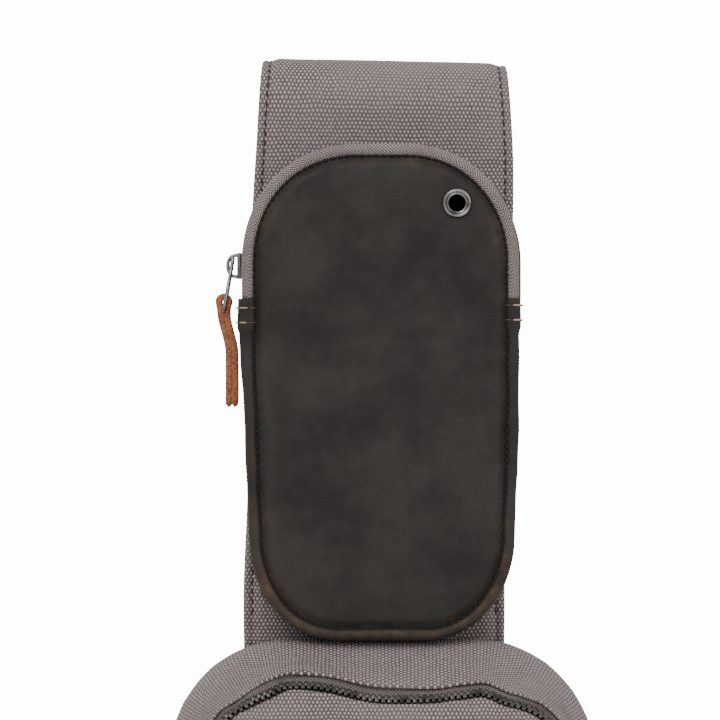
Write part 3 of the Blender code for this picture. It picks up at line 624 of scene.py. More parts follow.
def smooth_line(points, spacing, closed=False):
    """Points at an even spacing on a Catmull-Rom curve through the given points."""
    points = np.asarray(points, float)
    count = len(points)
    dense = []
    for i in range(count if closed else count - 1):
        near = np.arange(i - 1, i + 3)
        near = near % count if closed else np.clip(near, 0, count - 1)
        p0, p1, p2, p3 = points[near]
        slope = p2 - p0
        bend = 2 * p0 - 5 * p1 + 4 * p2 - p3
        twist = 3 * p1 - p0 - 3 * p2 + p3
        for t in np.linspace(0, 1, 24, endpoint=False):
            dense.append(0.5 * (2 * p1 + slope * t + bend * t**2 + twist * t**3))
    dense.append(points[0] if closed else points[-1])
    return spaced(np.array(dense), spacing)


def spaced(line, spacing):
    """The same line with its points at an even spacing."""
    run = distances_along(line)
    count = max(2, round(run[-1] / spacing) + 1)
    return sample(line, run, np.linspace(0, run[-1], count))


def arc(centre, radius, start, end, steps):
    angles = np.radians(np.linspace(start, end, steps + 1))
    return np.stack([centre[0] + radius * np.cos(angles), centre[1] + radius * np.sin(angles)], axis=1)


def clouds(points, size, seed=0.0):
    """Smooth noise, about -1 to 1, at each point. size is the width of a lump in metres."""
    flat = np.asarray(points, float).reshape(-1, 3) / size + seed
    values = [noise.noise(Vector(p)) for p in flat]
    return np.array(values).reshape(np.asarray(points).shape[:-1])


def flat(x, z):
    """Points without depth, for noise that is the same at every depth."""
    return np.stack([x, z, x * 0], axis=-1)


def step_between(value, low, high):
    share = np.clip((value - low) / (high - low), 0, 1)
    return share * share * (3 - 2 * share)


def stitches(name, line, outward, material, length=0.0030, gap=0.0010, radius=0.00032):
    """A row of thread stitches that dip into the cloth at their ends. outward points off the cloth."""
    line = np.asarray(line, float)
    outward = np.broadcast_to(np.asarray(outward, float), line.shape)
    run = distances_along(line)
    verts, faces = [], []
    start = 0.0
    while start + length < run[-1]:
        places = start + length * np.array([0.0, 0.18, 0.5, 0.82, 1.0])
        centre = sample(line, run, places)
        up = unit(sample(outward, run, places))
        along = centre[-1] - centre[0]
        side = np.cross(along / np.linalg.norm(along), up)
        rise = np.array([-1.0, 0.35, 0.75, 0.35, -1.0])[:, None] * radius
        thick = np.array([0.55, 0.95, 1.0, 0.95, 0.55])[:, None] * radius
        base = len(verts)
        middle = centre + up * rise
        for k in range(5):
            for a in range(6):
                turn = a * math.pi / 3
                verts.append(middle[k] + thick[k] * (side[k] * math.cos(turn) + up[k] * math.sin(turn)))
        faces += [tuple(base + i for i in face) for face in grid_faces(5, 6, False, True)]
        faces.append([base + i for i in range(6)])
        faces.append([base + 24 + i for i in range(6)])
        start += length + gap
    obj = mesh_object(name, verts, faces, material)
    tidy_mesh(obj)
    return obj


def apply_modifiers(obj):
    """Keeps the modified mesh and drops the modifiers."""
    depsgraph = bpy.context.evaluated_depsgraph_get()
    mesh = bpy.data.meshes.new_from_object(obj.evaluated_get(depsgraph))
    obj.modifiers.clear()
    obj.data = mesh


def cut_hole(obj, centre, radius):
    """Cuts a round hole along Y."""
    shape = bmesh.new()
    turn = Matrix.Translation(centre) @ Matrix.Rotation(math.pi / 2, 4, "X")
    bmesh.ops.create_cone(
        shape, cap_ends=True, segments=40, radius1=radius, radius2=radius, depth=CUTTER_DEPTH, matrix=turn
    )
    mesh = bpy.data.meshes.new("hole_cutter")
    shape.to_mesh(mesh)
    shape.free()
    cutter = add_object("hole_cutter", mesh)
    cut = obj.modifiers.new("hole", "BOOLEAN")
    cut.operation = "DIFFERENCE"
    cut.solver = "EXACT"
    cut.object = cutter
    apply_modifiers(obj)
    bpy.data.objects.remove(cutter)


def cut_plane(obj, point, normal):
    """Keeps the side of a closed mesh that the normal points away from, and closes the cut."""
    shape = bmesh.new()
    shape.from_mesh(obj.data)
    geometry = shape.verts[:] + shape.edges[:] + shape.faces[:]
    cut = bmesh.ops.bisect_plane(shape, geom=geometry, plane_co=point, plane_no=normal, clear_outer=True)
    edges = [item for item in cut["geom_cut"] if isinstance(item, bmesh.types.BMEdge)]
    bmesh.ops.triangle_fill(shape, edges=edges, use_beauty=True)
    shape.to_mesh(obj.data)
    shape.free()


def copies(name, shape, matrices, material):
    """One mesh of many placed copies of a small shape, which is (points, faces)."""
    points, faces = shape
    base = np.concatenate([np.asarray(points), np.ones((len(points), 1))], axis=1)
    verts = [base @ np.array(matrix).T[:, :3] for matrix in matrices]
    all_faces = [[index * len(points) + i for i in face] for index in range(len(matrices)) for face in faces]
    return mesh_object(name, np.concatenate(verts), all_faces, material)


def points_of(vertices):
    return np.array([v.co[:] for v in vertices])


def rounded_block(half, bevel, segments=2):
    """Points and faces of a block with rounded edges, centred on the origin."""
    shape = bmesh.new()
    bmesh.ops.create_cube(shape, size=2.0)
    bmesh.ops.scale(shape, vec=half, verts=shape.verts)
    bmesh.ops.bevel(shape, geom=shape.edges[:], offset=bevel, segments=segments, profile=0.5, affect="EDGES")
    shape.verts.ensure_lookup_table()
    points = points_of(shape.verts)
    faces = [[v.index for v in face.verts] for face in shape.faces]
    shape.free()
    return points, faces


def frame_matrix(origin, x_axis, y_axis, z_axis):
    matrix = np.eye(4)
    matrix[:3, 0], matrix[:3, 1], matrix[:3, 2], matrix[:3, 3] = x_axis, y_axis, z_axis, origin
    return matrix


def unit(vectors):
    return vectors / np.maximum(np.linalg.norm(vectors, axis=-1, keepdims=True), 1e-12)


def finish_piece(obj, body, slot, *nodes):
    """Ties a piece to a body and hides the CAD nodes it stands for; slot is not used."""
    if body:
        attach(obj, body)
    if nodes:
        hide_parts(*nodes)
    return obj


def finish_node(name, material):
    """Gives a CAD node that keeps its shape a finish and a material slot."""
    node = frame["nodes"][name]
    node.data.materials.clear()
    node.data.materials.append(material)


# ---------------------------------------------------------------- outlines


def closed_outline(left, spacing):
    """A clockwise outline from its left half, which runs from the bottom to the top."""
    right = left[::-1] * (-1, 1)
    return spaced(np.concatenate([left, right, left[:1]]), spacing)[:-1]


def pocket_outline():
    low = (POCKET_BOTTOM_RADIUS - POCKET_HALF_WIDTH, POCKET_BOTTOM_Z + POCKET_BOTTOM_RADIUS)
    high = (POCKET_TOP_RADIUS - POCKET_HALF_WIDTH, POCKET_TOP_Z - POCKET_TOP_RADIUS)
    lower = arc(low, POCKET_BOTTOM_RADIUS, 270, 180, 40)
    upper = arc(high, POCKET_TOP_RADIUS, 180, 90, 60)
    return closed_outline(np.concatenate([lower, upper]), 0.0014)


def body_outline():
    low = (BODY_BOTTOM_RADIUS - BODY_HALF_WIDTH, BODY_BOTTOM_Z + BODY_BOTTOM_RADIUS)
    high = (BODY_TOP_RADIUS - BODY_SHOULDER_HALF_WIDTH, BODY_TOP_Z - BODY_TOP_RADIUS)
    lower = arc(low, BODY_BOTTOM_RADIUS, 270, 180, 50)
    widest = np.array([[-BODY_HALF_WIDTH, BODY_WIDEST_Z]])
    upper = arc(high, BODY_TOP_RADIUS, 180, 90, 50)
    return closed_outline(np.concatenate([lower, widest, upper]), 0.0018)


def stretch(outline, z, above):
    """The open stretch of a closed outline above or below a height."""
    inside = outline[:, 1] > z if above else outline[:, 1] < z
    first = np.flatnonzero(inside & ~np.roll(inside, 1))[0]
    path = np.roll(outline, -first, axis=0)[: inside.sum()].copy()
    path[[0, -1], 1] = z
    return path


def inward(path, closed):
    """Unit normals on the right-hand side of a path."""
    if closed:
        run = np.roll(path, -1, axis=0) - np.roll(path, 1, axis=0)
    else:
        run = np.gradient(path, axis=0)
    return unit(np.stack([run[:, 1], -run[:, 0]], axis=1))


def inset(path, distance, closed):
    return path + inward(path, closed) * np.reshape(distance, (-1, 1))


# ---------------------------------------------------------------- strap panel


def strap_line():
    """Middle of the strap panel as (y, z), from its lower end over the bend to its tail."""
    front = [(STRAP_Y, BODY_TOP_Z - 0.0055), (STRAP_Y, -0.060), (-BEND_RADIUS, BEND_CENTRE_Z)]
    bend = arc((0.0, BEND_CENTRE_Z), BEND_RADIUS, 180, 0, 40)
    back = [(BEND_RADIUS + 0.0005, -0.045), (BEND_RADIUS + 0.0015, STRAP_TAIL_Z)]
    return spaced(np.concatenate([front, bend, back]), 0.0016)


def strap_half(y, z):
    """Half the panel's width: it narrows towards the bend and stays narrow behind it."""
    share = np.where(y > 0, 1.0, np.clip((z + 0.042) / 0.046, 0, 1) ** 2)
    return STRAP_HALF_WIDTH + 0.0005 + (STRAP_TOP_HALF_WIDTH - STRAP_HALF_WIDTH) * share


def strap_sway(points):
    """The strap's top edge slopes down to the right, and its lower end stands a little to the left."""
    x, z = points[..., 0], points[..., 2]
    top = step_between(z, -0.035, 0.0)
    high = step_between(z, -0.070, -0.020)
    low = step_between(-z, 0.10, 0.19)
    moved = points.copy()
    moved[..., 2] += top * (0.0017 - 0.022 * x)
    moved[..., 0] += 0.0011 * high - 0.0028 * low
    return moved


def strap_profile(edge_distance):
    """Height of the padded face over the middle plane, by the distance in from the edge."""
    rounded = np.sqrt(np.clip(1 - (1 - np.clip(edge_distance / 0.0014, 0, 1)) ** 2, 0, 1))
    hem = 0.0021 * rounded
    padding = (STRAP_THICKNESS / 2 + 0.0003 - 0.0021) * step_between(edge_distance, SEAM_IN, SEAM_IN + 0.004)
    groove = 0.00055 * np.exp(-(((edge_distance - SEAM_IN) / 0.0005) ** 2))
    return hem + padding - groove


def make_strap(materials):
    line = strap_line()
    out = left_normals(line)
    half = strap_half(line[:, 0], line[:, 1])
    distances = distances_along(line)
    wavy_half = half + 0.00024 * np.sin(distances * 90)
    edge = np.concatenate([np.linspace(0, 0.0014, 5), np.arange(0.0018, 0.0060, 0.0004)])
    stations, weave = [], []
    for (y, z), (oy, oz), w, along in zip(line, out, wavy_half, distances):
        middle = np.linspace(-w + 0.0064, w - 0.0064, 40)
        across = np.concatenate([-w + edge, middle, w - edge[::-1]])
        rise = strap_profile(w - np.abs(across))
        lumps = 0.00045 * clouds(flat(across, across * 0 + along), 0.022)
        outer = rise + lumps * step_between(w - np.abs(across), 0.004, 0.012)
        x = np.concatenate([across, across[-2:0:-1]])
        height = np.concatenate([outer, -rise[-2:0:-1]])
        stations.append(np.stack([x, y + oy * height, z + oz * height], axis=1))
        weave.append(np.stack([x, np.full(len(x), along)], axis=1))
    strap = swept("strap_panel", strap_sway(np.array(stations)), materials["canvas"], False, np.array(weave))
    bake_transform(strap)
    finish_piece(strap, None, "canvas", "strap_canvas", "strap_foam", "strap_lining")
    keep = line[:, 1] > HINGE_Z + 0.012
    behind = -STRAP_THICKNESS / 2 - 0.0002
    lining = ribbon("strap_lining_cloth", line[keep], half[keep] - 0.006, behind, 0.0005, materials["lining"])
    finish_piece(lining, "strap", "lining")
    for side, word in ((-1, "left"), (1, "right")):
        x = side * (half - SEAM_IN)
        level = strap_profile(np.array([SEAM_IN]))[0] + 0.0001
        seam = np.stack([x, line[:, 0] + out[:, 0] * level, line[:, 1] + out[:, 1] * level], axis=1)
        away = np.stack([out[:, 0] * 0, out[:, 0], out[:, 1]], axis=1)
        seam = strap_sway(seam[keep])
        name = "strap_stitches_" + word
        thread = stitches(name, seam, away[keep], materials["thread_dark"], 0.0028, 0.0008)
        finish_piece(thread, "strap", "canvas")


def ribbon(name, line, half, offset, thickness, material):
    """A flat band along a line of (y, z) points, some distance off it, with rounded long edges."""
    out = left_normals(line)
    half = np.broadcast_to(half, len(line))
    distances = distances_along(line)
    angles = np.radians([90, 60, 30, 0, -30, -60, -90])
    end_x, end_t = np.cos(angles) * thickness / 2, np.sin(angles) * thickness / 2
    stations, weave = [], []
    for (y, z), (oy, oz), w, along in zip(line, out, half, distances):
        inner = np.linspace(-w + thickness, w - thickness, 12)
        x = np.concatenate([inner, w - thickness / 2 + end_x, inner[::-1], -w + thickness / 2 - end_x[::-1]])
        top = np.full(12, thickness / 2)
        t = np.concatenate([top, end_t, -top, end_t[::-1]]) + offset
        stations.append(np.stack([x, y + oy * t, z + oz * t], axis=1))
        weave.append(np.stack([x, np.full(len(x), along)], axis=1))
    return swept(name, np.array(stations), material, False, np.array(weave))


# ---------------------------------------------------------------- phone pocket


def pocket_edge(path, closed, depths, turns, proud=0.0):
    """Rows up the pocket's wall at some depths, then round its rolled front edge at some angles in degrees.

    proud lifts them off the pocket."""
    normals = inward(path, closed)
    places = [(-proud, depth) for depth in depths]
    for turn in np.radians(turns):
        inside = POCKET_ROLL - (POCKET_ROLL + proud) * math.cos(turn)
        places.append((inside, POCKET_WALL_DEPTH + (POCKET_ROLL_RISE + proud) * math.sin(turn)))
    return pocket_sway(np.array([lifted(path + normals * inside, depth) for inside, depth in places]))


def lifted(line, depth):
    """A line of (x, z) points at a depth in front of the pocket's back."""
    return np.stack([line[:, 0], np.full(len(line), POCKET_BACK - depth), line[:, 1]], axis=1)


def pocket_sway(points):
    """The pocket's top is a little square and full. It narrows towards its foot, which bellies down."""
    x, y, z = points[..., 0], points[..., 1], points[..., 2]
    front = step_between(POCKET_BACK - y, 0.0125, 0.0168)
    moved = points.copy()
    moved[..., 0] *= 1 - 0.048 * step_between(-z, 0.120, 0.195)
    moved[..., 0] -= 0.0010 * front * step_between(-x, 0.0, 0.040) * step_between(z, -0.130, -0.100)
    moved[..., 2] += 0.0021 * front * step_between(z, -0.075, -0.035)
    moved[..., 2] -= 0.0017 * step_between(-z, 0.170, 0.203)
    return moved


def pocket_panel_rows(outline):
    """Rows from the front panel's seam to the pocket's middle line, with soft swell and ripples."""
    rows = []
    front = POCKET_BACK - POCKET_FRONT
    for step in (-0.0003, 0.0, 0.0004, 0.0009, 0.0015, 0.0022, 0.0030, 0.0038):
        depth = POCKET_SEAM_DEPTH + (front - POCKET_SEAM_DEPTH) * step_between(step, -0.0003, 0.0036)
        rows.append(lifted(inset(outline, POCKET_SEAM_INSET + step, True), depth))
    rim = rows[-1]
    spine = np.clip(rim[:, 2], POCKET_BOTTOM_Z + POCKET_TOP_RADIUS, POCKET_TOP_Z - POCKET_TOP_RADIUS)
    for share in np.linspace(0, 1, 34)[1:]:
        row = rim.copy()
        row[:, 0] *= 1 - share
        row[:, 2] += (spine - rim[:, 2]) * share
        rows.append(row)
    rows = np.array(rows)
    away = panel_distance(rows)
    x, z = rows[:, :, 0], rows[:, :, 2]
    free = step_between(np.hypot(x - EYELET.x, z - EYELET.z), 0.006, 0.016)
    tall = flat(x, z * 0.7)
    swelling = 0.0006 + 0.0012 * clouds(tall, 0.040, 3.1) + 0.0005 * clouds(tall, 0.014, 7.7)
    near_top = np.exp(-(((z - POCKET_TOP_Z + 0.010) / 0.007) ** 2))
    ripple = 0.0016 * near_top * clouds(flat(x, z * 0.5), 0.0075, 1.3)
    lift = swelling * step_between(away, 0.002, 0.012) + ripple * step_between(away, 0.0004, 0.003)
    rows[:, :, 1] -= lift * free
    return pocket_sway(rows)


def panel_distance(rows):
    """Rough distance of each row of the pocket's front panel from its seam."""
    inner = np.linspace(0.0041, 0.045, len(rows) - 7)[1:]
    return np.concatenate([np.linspace(0, 0.0041, 8), inner])[:, None]


def edge_wear(rows, away, seed):
    """Brown at the edge, partly rubbing and partly a painted highlight: strongest at the edge, on the left
    and near the top, which face the key light.
    """
    x, z = rows[:, :, 0], rows[:, :, 2]
    patches = 0.55 + 0.9 * clouds(flat(x, z), 0.018, seed)
    # Painted highlight: these side weights make the brown strongest on the top edges and the left edge, where
    # the key light falls, and weakest low on the right.
    left = 1.0 * (x < 0) + 0.75 * (x >= 0) * step_between(z, -0.10, -0.05) + 0.45 * (x >= 0)
    return np.clip(np.exp(-away / 0.0032) * patches * left, 0, 1)


def make_pocket(materials):
    outline = pocket_outline()
    centre = (0, POCKET_BACK - POCKET_WALL_DEPTH / 2, -0.116)
    upper = stretch(outline, POCKET_GUSSET_TOP_Z + 0.0001, True)
    lower = stretch(outline, POCKET_GUSSET_TOP_Z + 0.0006, False)
    roll = np.linspace(0, 158, 13)
    chain = POCKET_ZIP_DEPTH

    for word, depths, turns in (
        ("front", np.linspace(chain + 0.0017, POCKET_WALL_DEPTH - 0.0006, 5), roll),
        ("rear", np.linspace(0.0, chain - 0.0017, 7), []),
    ):
        rows = pocket_edge(upper, False, depths, turns)
        tape = shell("pocket_tape_" + word, rows, materials["tape"], centre, 0.0008)
        finish_piece(tape, "strap", "zip_tape", "pocket_zip_tape_" + word)

    gusset_rows = pocket_edge(lower, False, np.linspace(0.0, POCKET_WALL_DEPTH - 0.0008, 12), roll)
    fold = step_between(gusset_rows[:, :, 2], POCKET_GUSSET_TOP_Z - 0.0115, POCKET_GUSSET_TOP_Z - 0.0105)
    lumps = 0.00035 * clouds(gusset_rows, 0.012, 2.2)
    rise = (0.0006 * fold + lumps)[:, :, None]
    gusset_rows = gusset_flare(gusset_rows + turned_out(gusset_rows, False, centre) * rise)
    x, z = gusset_rows[:, :, 0], gusset_rows[:, :, 2]
    corner = np.exp(-(((np.abs(x) - 0.041) / 0.012) ** 2 + ((z + 0.193) / 0.014) ** 2))
    brown_amount = np.linspace(0, 1, len(gusset_rows))[:, None] ** 2
    low = step_between(-z, 0.150, 0.185)
    wear = np.clip(corner * brown_amount * 1.4 + brown_amount * (0.22 + 0.40 * low), 0, 1)
    gusset = shell("pocket_gusset_leather", gusset_rows, materials["leather"], centre, 0.0010, wear=wear)
    finish_piece(gusset, "strap", "leather", "pocket_gusset")
    make_gusset_stitches(lower, materials)

    panel_rows = pocket_panel_rows(outline)
    away = panel_distance(panel_rows)
    # The front panel's brown edge is rubbing with a painted highlight on its left and top edges.
    panel = shell(
        "pocket_front_leather", panel_rows, materials["leather"], centre, 0.0012,
        closed_cols=True, wear=edge_wear(panel_rows, away, 5.0), ends_in_spine=True,
    )
    cut_hole(panel, EYELET, 0.0040)
    finish_piece(panel, "strap", "leather", "pocket_front_panel")
    # Painted shade: the seam's black thread, laid almost without gaps, is partly stitching and partly a dark
    # line for the shade in the groove between the front panel and the gusset.
    seam = pocket_sway(lifted(inset(outline, POCKET_SEAM_INSET - 0.0001, True), POCKET_SEAM_DEPTH + 0.0003))
    seam = np.concatenate([seam, seam[:1]])
    seam_thread_and_shade = materials["black_thread_and_seam_shade"]
    thread = stitches("pocket_seam_stitches_and_shade_line", seam, (0, -1, 0), seam_thread_and_shade, 0.0026, 0.0001, 0.00046)
    finish_piece(thread, "strap", "leather")

    line = pocket_edge(upper, False, [chain], [])[0]
    out = unit((line - lifted(inset(upper, 0.01, False), 0.0)) * (1, 0, 1))
    for side, word in ((-1, "rear"), (1, "front")):
        teeth = zip_row("pocket_coil_" + word, line, out, (0, -1, 0), side, COIL, materials["teeth"])
        finish_piece(teeth, "strap", "zip_teeth", "pocket_zip_coil_" + word)


def gusset_flare(points):
    """The gusset's folded top stands out on the left, where the zip pulls it."""
    x, z = points[..., 0], points[..., 2]
    high = step_between(z, -0.130, POCKET_GUSSET_TOP_Z - 0.004)
    moved = points.copy()
    moved[..., 0] -= 0.0009 * high * step_between(-x, 0.0468, 0.0500)
    return moved


def make_gusset_stitches(path, materials):
    """Two rows of beige stitches over the folded top of the gusset, on both sides."""
    for index, word in ((0, "right"), (-1, "left")):
        for row, drop in enumerate((0.0024, 0.0078)):
            place = path[index] - (0, drop)
            sideways = np.array([place, place - (0, 0.001)])
            if index == -1:
                sideways = sideways[::-1]
            depths = np.linspace(0.0025, 0.0160, 8)
            line = gusset_flare(pocket_edge(sideways, False, depths, np.linspace(0, 150, 12), 0.0008)[:, 0])
            middle = np.array([place[0] * 0.6, POCKET_BACK - 0.010, place[1]])
            out = unit((line - middle) * (1, 1, 0))
            name = f"gusset_stitches_{word}_{row}"
            thread = stitches(name, line[::-1], out[::-1], materials["thread_beige"], 0.0030, 0.0009, 0.00042)
            finish_piece(thread, "strap", "leather")


# Zip teeth: pitch along the chain, half sizes along, across and up, and their distance off its middle.
COIL = {"pitch": 0.0015, "half": (0.00068, 0.0009, 0.00075), "offset": 0.0006}
METAL_TEETH = {"pitch": 0.00230, "half": (0.00078, 0.00105, 0.00075), "offset": 0.00062}


def zip_row(name, line, outward, across, side, kind, material):
    """One side's teeth along a line. across points from the chain's rear side to its front side."""
    offset = 0.0 if side < 0 else kind["pitch"] / 2
    run = distances_along(line)
    places = np.arange(kind["pitch"] * 0.5 + offset, run[-1] - kind["pitch"] * 0.4, kind["pitch"])
    outward = np.broadcast_to(outward, line.shape)
    across = np.broadcast_to(across, line.shape)
    at = sample(line, run, places)
    up = unit(sample(outward, run, places))
    ahead = unit(np.cross(sample(across, run, places), up))
    over = unit(np.cross(up, ahead))
    shape = rounded_block(kind["half"], 0.0003)
    at = at + over * side * kind["offset"]
    return copies(name, shape, [frame_matrix(*placed) for placed in zip(at, ahead, over, up)], material)


# ---------------------------------------------------------------- zip sliders and pulls


# Leather pulls: length, half width, the head's radius and its height over the bar, thickness, how far the
# free end drifts back, and the seed of its unevenness.
PULLS = {
    "pocket": (0.0352, 0.0042, (0.0018, 0.0034), 0.0025, 0.0030, 1.0),
    "main": (0.0352, 0.0042, (0.0018, 0.0034), 0.0025, 0.0, 1.0),
    "front": (0.0300, 0.0022, (0.0021, 0.0), 0.0020, 0.0, 4.0),
}

# A pull's section, in shares of its half width and half thickness: the outer face is a little crowned.
PULL_ACROSS = np.array([-1, -0.94, -0.5, 0, 0.5, 0.94, 1, 1, 0.94, 0.5, 0, -0.5, -0.94, -1])
PULL_HEIGHT = np.array([0.6, 1, 1.05, 1.08, 1.05, 1, 0.6, -0.6, -1, -1, -1, -1, -1, -0.6])


def leather_pull(name, pivot, outward, up, sizes, material):
    """A strip folded over a bar at the pivot: a rounded head above, two layers below, a round cut end.

    outward is the way its front face looks, and up the way it stands over the bar."""
    length, half, head, thickness, hang, seed = sizes
    layer = 0.88 * thickness
    turn = arc((0.0, head[1]), head[0], 200, -20, 16)
    neck = -0.0034
    rear = [(-layer / 2, -length), (-layer / 2, neck)]
    front = [(layer / 2, neck), (layer / 2, -length)]
    line = smooth_line(np.concatenate([rear, turn, front]), 0.0006)
    out_axis, up_axis = np.array(outward), np.array(up)
    side_axis = np.cross(up_axis, out_axis)
    normal = left_normals(line)
    stations = []
    for (x, z), (nx, nz) in zip(line, normal):
        low = np.clip((z + length) / half, 0, 1)
        width = half * math.sqrt(max(0.12, 1 - (1 - low) ** 2)) * (1 + 0.02 * math.sin(z * 900 + seed))
        thin = math.sqrt(np.clip((z + length) / 0.0013, 0.08, 1))
        drift = hang * step_between(-z, 0.0, 0.016)
        points = (x - drift) * out_axis + z * up_axis + np.outer(width * PULL_ACROSS, side_axis)
        height = thin * thickness / 2 * PULL_HEIGHT
        stations.append(points + np.outer(height, nx * out_axis + nz * up_axis))
    stations = np.array(stations) + np.array(pivot)
    stations += 0.00014 * clouds(stations, 0.003, seed)[:, :, None] * out_axis
    return swept(name, stations, material)


def make_link(prefix, materials):
    """A flattened wire loop from the bail to the leather, narrow above and wide below."""
    swing, pull = JOINTS[prefix + "_link_swing"], JOINTS[prefix + "_pull_swing"]
    top, low = np.array(swing["pos_m"]), np.array(pull["pos_m"])
    up, side = unit(top - low), unit(np.array(swing["axis"], float))
    drop = np.linalg.norm(top - low)
    half = [(0.0, 0.0012), (0.0015, 0.0007), (0.0019, -0.0035), (0.0046, -0.0090)]
    half += [(0.0052, 0.0012 - drop), (0.0040, -drop)]
    outline = half + [(-x, z) for x, z in reversed(half[1:])]
    loop = smooth_line([top + side * x + up * z for x, z in outline], 0.0006, closed=True)[:-1]
    link = tube(prefix + "_link_loop", loop, 0.00070, materials["nickel"], 12, True)
    finish_piece(link, prefix + "_link", "nickel", prefix + "_pull_link")


def make_eyelet(materials):
    """A rolled flange with a groove inside it, and a barrel through the panel."""
    profile = [
        (5.20, 0.0), (5.27, 0.35), (5.12, 0.75), (4.75, 1.02), (4.35, 0.92), (4.08, 0.55), (3.98, 0.35),
        (3.82, 0.50), (3.60, 0.78), (3.35, 0.80), (3.12, 0.55), (3.00, 0.10), (3.00, -2.3), (3.40, -2.3),
        (3.40, -0.1),
    ]
    line = smooth_line(np.array(profile) / 1000, 0.00012, closed=True)[:-1]
    stations = []
    for angle in np.linspace(0, 2 * math.pi, 64, endpoint=False):
        across = line[:, 0:1] * (math.cos(angle), 0, math.sin(angle))
        stations.append(np.array(EYELET) + across + line[:, 1:2] * (0, -1, 0) - (0, 0.0003, 0))
    ring = swept("eyelet_ring", np.array(stations), materials["nickel"], True)
    finish_piece(ring, "strap", "nickel", "eyelet")


def make_hardware(materials):
    """Hidden and plain metal nodes keep their CAD shape with a finish. The rest is made anew."""
    for name in ("eyelet_washer", "ring", "pocket_slider", "main_slider", "front_slider"):
        finish_node(name, materials["nickel"])
    make_eyelet(materials)
    make_bails(materials)
    make_link("pocket", materials)
    make_link("main", materials)
    make_pulls(materials)


# Sliders: their origin, the way their outer plate looks, the way their zip runs, and their bail's height.
SLIDERS = {
    "pocket": ((-0.0503, -0.030, -0.0695), (-1.0, 0.0, 0.0), (0.0, 0.0, 1.0), 0.0069),
    "main": ((-0.06651, -0.08062, -0.31908), (-0.4911, -0.8325, 0.2565), (0.0653, 0.2584, 0.9638), 0.0069),
    "front": ((-0.036, -0.0997, -0.385), (0.0, -0.9973, 0.0731), (1.0, 0.0, 0.0), 0.0070),
}


def make_bails(materials):
    """Each slider's round wire bail, a half oval that stands on the slider's outer plate."""
    for prefix, (origin, outward, along, reach) in SLIDERS.items():
        foot, wire = 0.0030, 0.0007
        points = []
        for angle in np.linspace(-0.12, math.pi + 0.12, 40):
            rise = foot + (reach - wire - foot) * math.copysign(abs(math.sin(angle)) ** 0.75, math.sin(angle))
            sideways = np.array(along) * 0.0039 * math.cos(angle)
            points.append(np.array(origin) + np.array(outward) * rise + sideways)
        bail = tube(prefix + "_bail_wire", points, wire, materials["nickel"], 12)
        finish_piece(bail, prefix + "_slider", "nickel", prefix + "_slider_bail")


def make_pulls(materials):
    for prefix, sizes in PULLS.items():
        _, outward, up, _ = SLIDERS[prefix]
        if prefix == "front":
            up = np.cross(outward, up)
        pivot = JOINTS[prefix + "_pull_swing"]["pos_m"]
        pull = leather_pull(prefix + "_pull_tan", pivot, outward, up, sizes, materials["tan"])
        finish_piece(pull, prefix + "_pull", "tan_leather", prefix + "_pull_leather")


# ---------------------------------------------------------------- bag body


def body_depth(z):
    return np.interp(z, BODY_DEPTH_Z, BODY_DEPTH)


def body_front(distance, z):
    rest = 1 - np.clip(distance / BODY_DOME, 0, 1)
    dome = (1 - rest**BODY_DOME_POWER) ** (1 / BODY_DOME_POWER)
    return BODY_BACK - body_depth(z) * (BODY_WALL_SHARE + (1 - BODY_WALL_SHARE) * dome)


def still(points):
    """1 where the cloth is free to crease and 0 by the zips' straight stretches and the hinge."""
    x, z = points[:, :, 0], points[:, :, 2]
    main = step_between(np.abs(x + 0.068) - 0.004, 0.008, 0.022)
    main = np.maximum(main, 1 - step_between(z, -0.375, -0.355))
    main = np.maximum(main, step_between(z, -0.262, -0.245))
    front = step_between(np.abs(z - FRONT_ZIP_Z), 0.010, 0.030)
    return main * front


# Creases in the body's canvas about the main zip: start and end as (x, z), height and half width.
CREASES = (
    ((-0.050, -0.228), (-0.029, -0.214), 0.0022, 0.0030),
    ((-0.026, -0.219), (0.010, -0.2215), 0.0016, 0.0030),
    ((-0.046, -0.2335), (-0.012, -0.230), 0.0014, 0.0016),
    ((-0.030, -0.238), (0.004, -0.236), -0.0014, 0.0018),
    ((0.012, -0.235), (0.044, -0.233), 0.0012, 0.0017),
    ((-0.056, -0.243), (-0.022, -0.262), 0.0020, 0.0035),
    ((0.058, -0.246), (0.020, -0.268), 0.0020, 0.0035),
)


def creased(points, normals, amount=1.0):
    """Moves cloth along its normals into soft lumps and into long creases about the main zip."""
    x, y, z = points[:, :, 0], points[:, :, 1], points[:, :, 2]
    broad = clouds(points, 0.055, 11.0)
    slanted = np.stack([x * 0.5 + z * 0.5, y * 0.3, (z - 0.4 * np.abs(x)) * 1.5], axis=2)
    folds = 1 - 2.4 * np.abs(clouds(slanted, 0.026, 4.0))
    folds = np.clip(folds, 0, 1) ** 2
    fine = clouds(points, 0.016, 8.0)
    lift = 0.0013 * broad + 0.0012 * folds + 0.00035 * fine
    for start, end, height, width in CREASES:
        lift = lift + ridge(x, z, start, end, height, width)
    return points + normals * (lift * still(points) * amount)[:, :, None]


def ridge(x, z, start, end, height, width):
    """A soft ridge of cloth along a straight line, fading at both ends."""
    run_x, run_z = end[0] - start[0], end[1] - start[1]
    length = math.hypot(run_x, run_z)
    along = ((x - start[0]) * run_x + (z - start[1]) * run_z) / length**2
    off = ((x - start[0]) * run_z - (z - start[1]) * run_x) / length
    fade = step_between(along, -0.25, 0.25) * (1 - step_between(along, 0.75, 1.25))
    return height * fade * np.exp(-((off / width) ** 2))


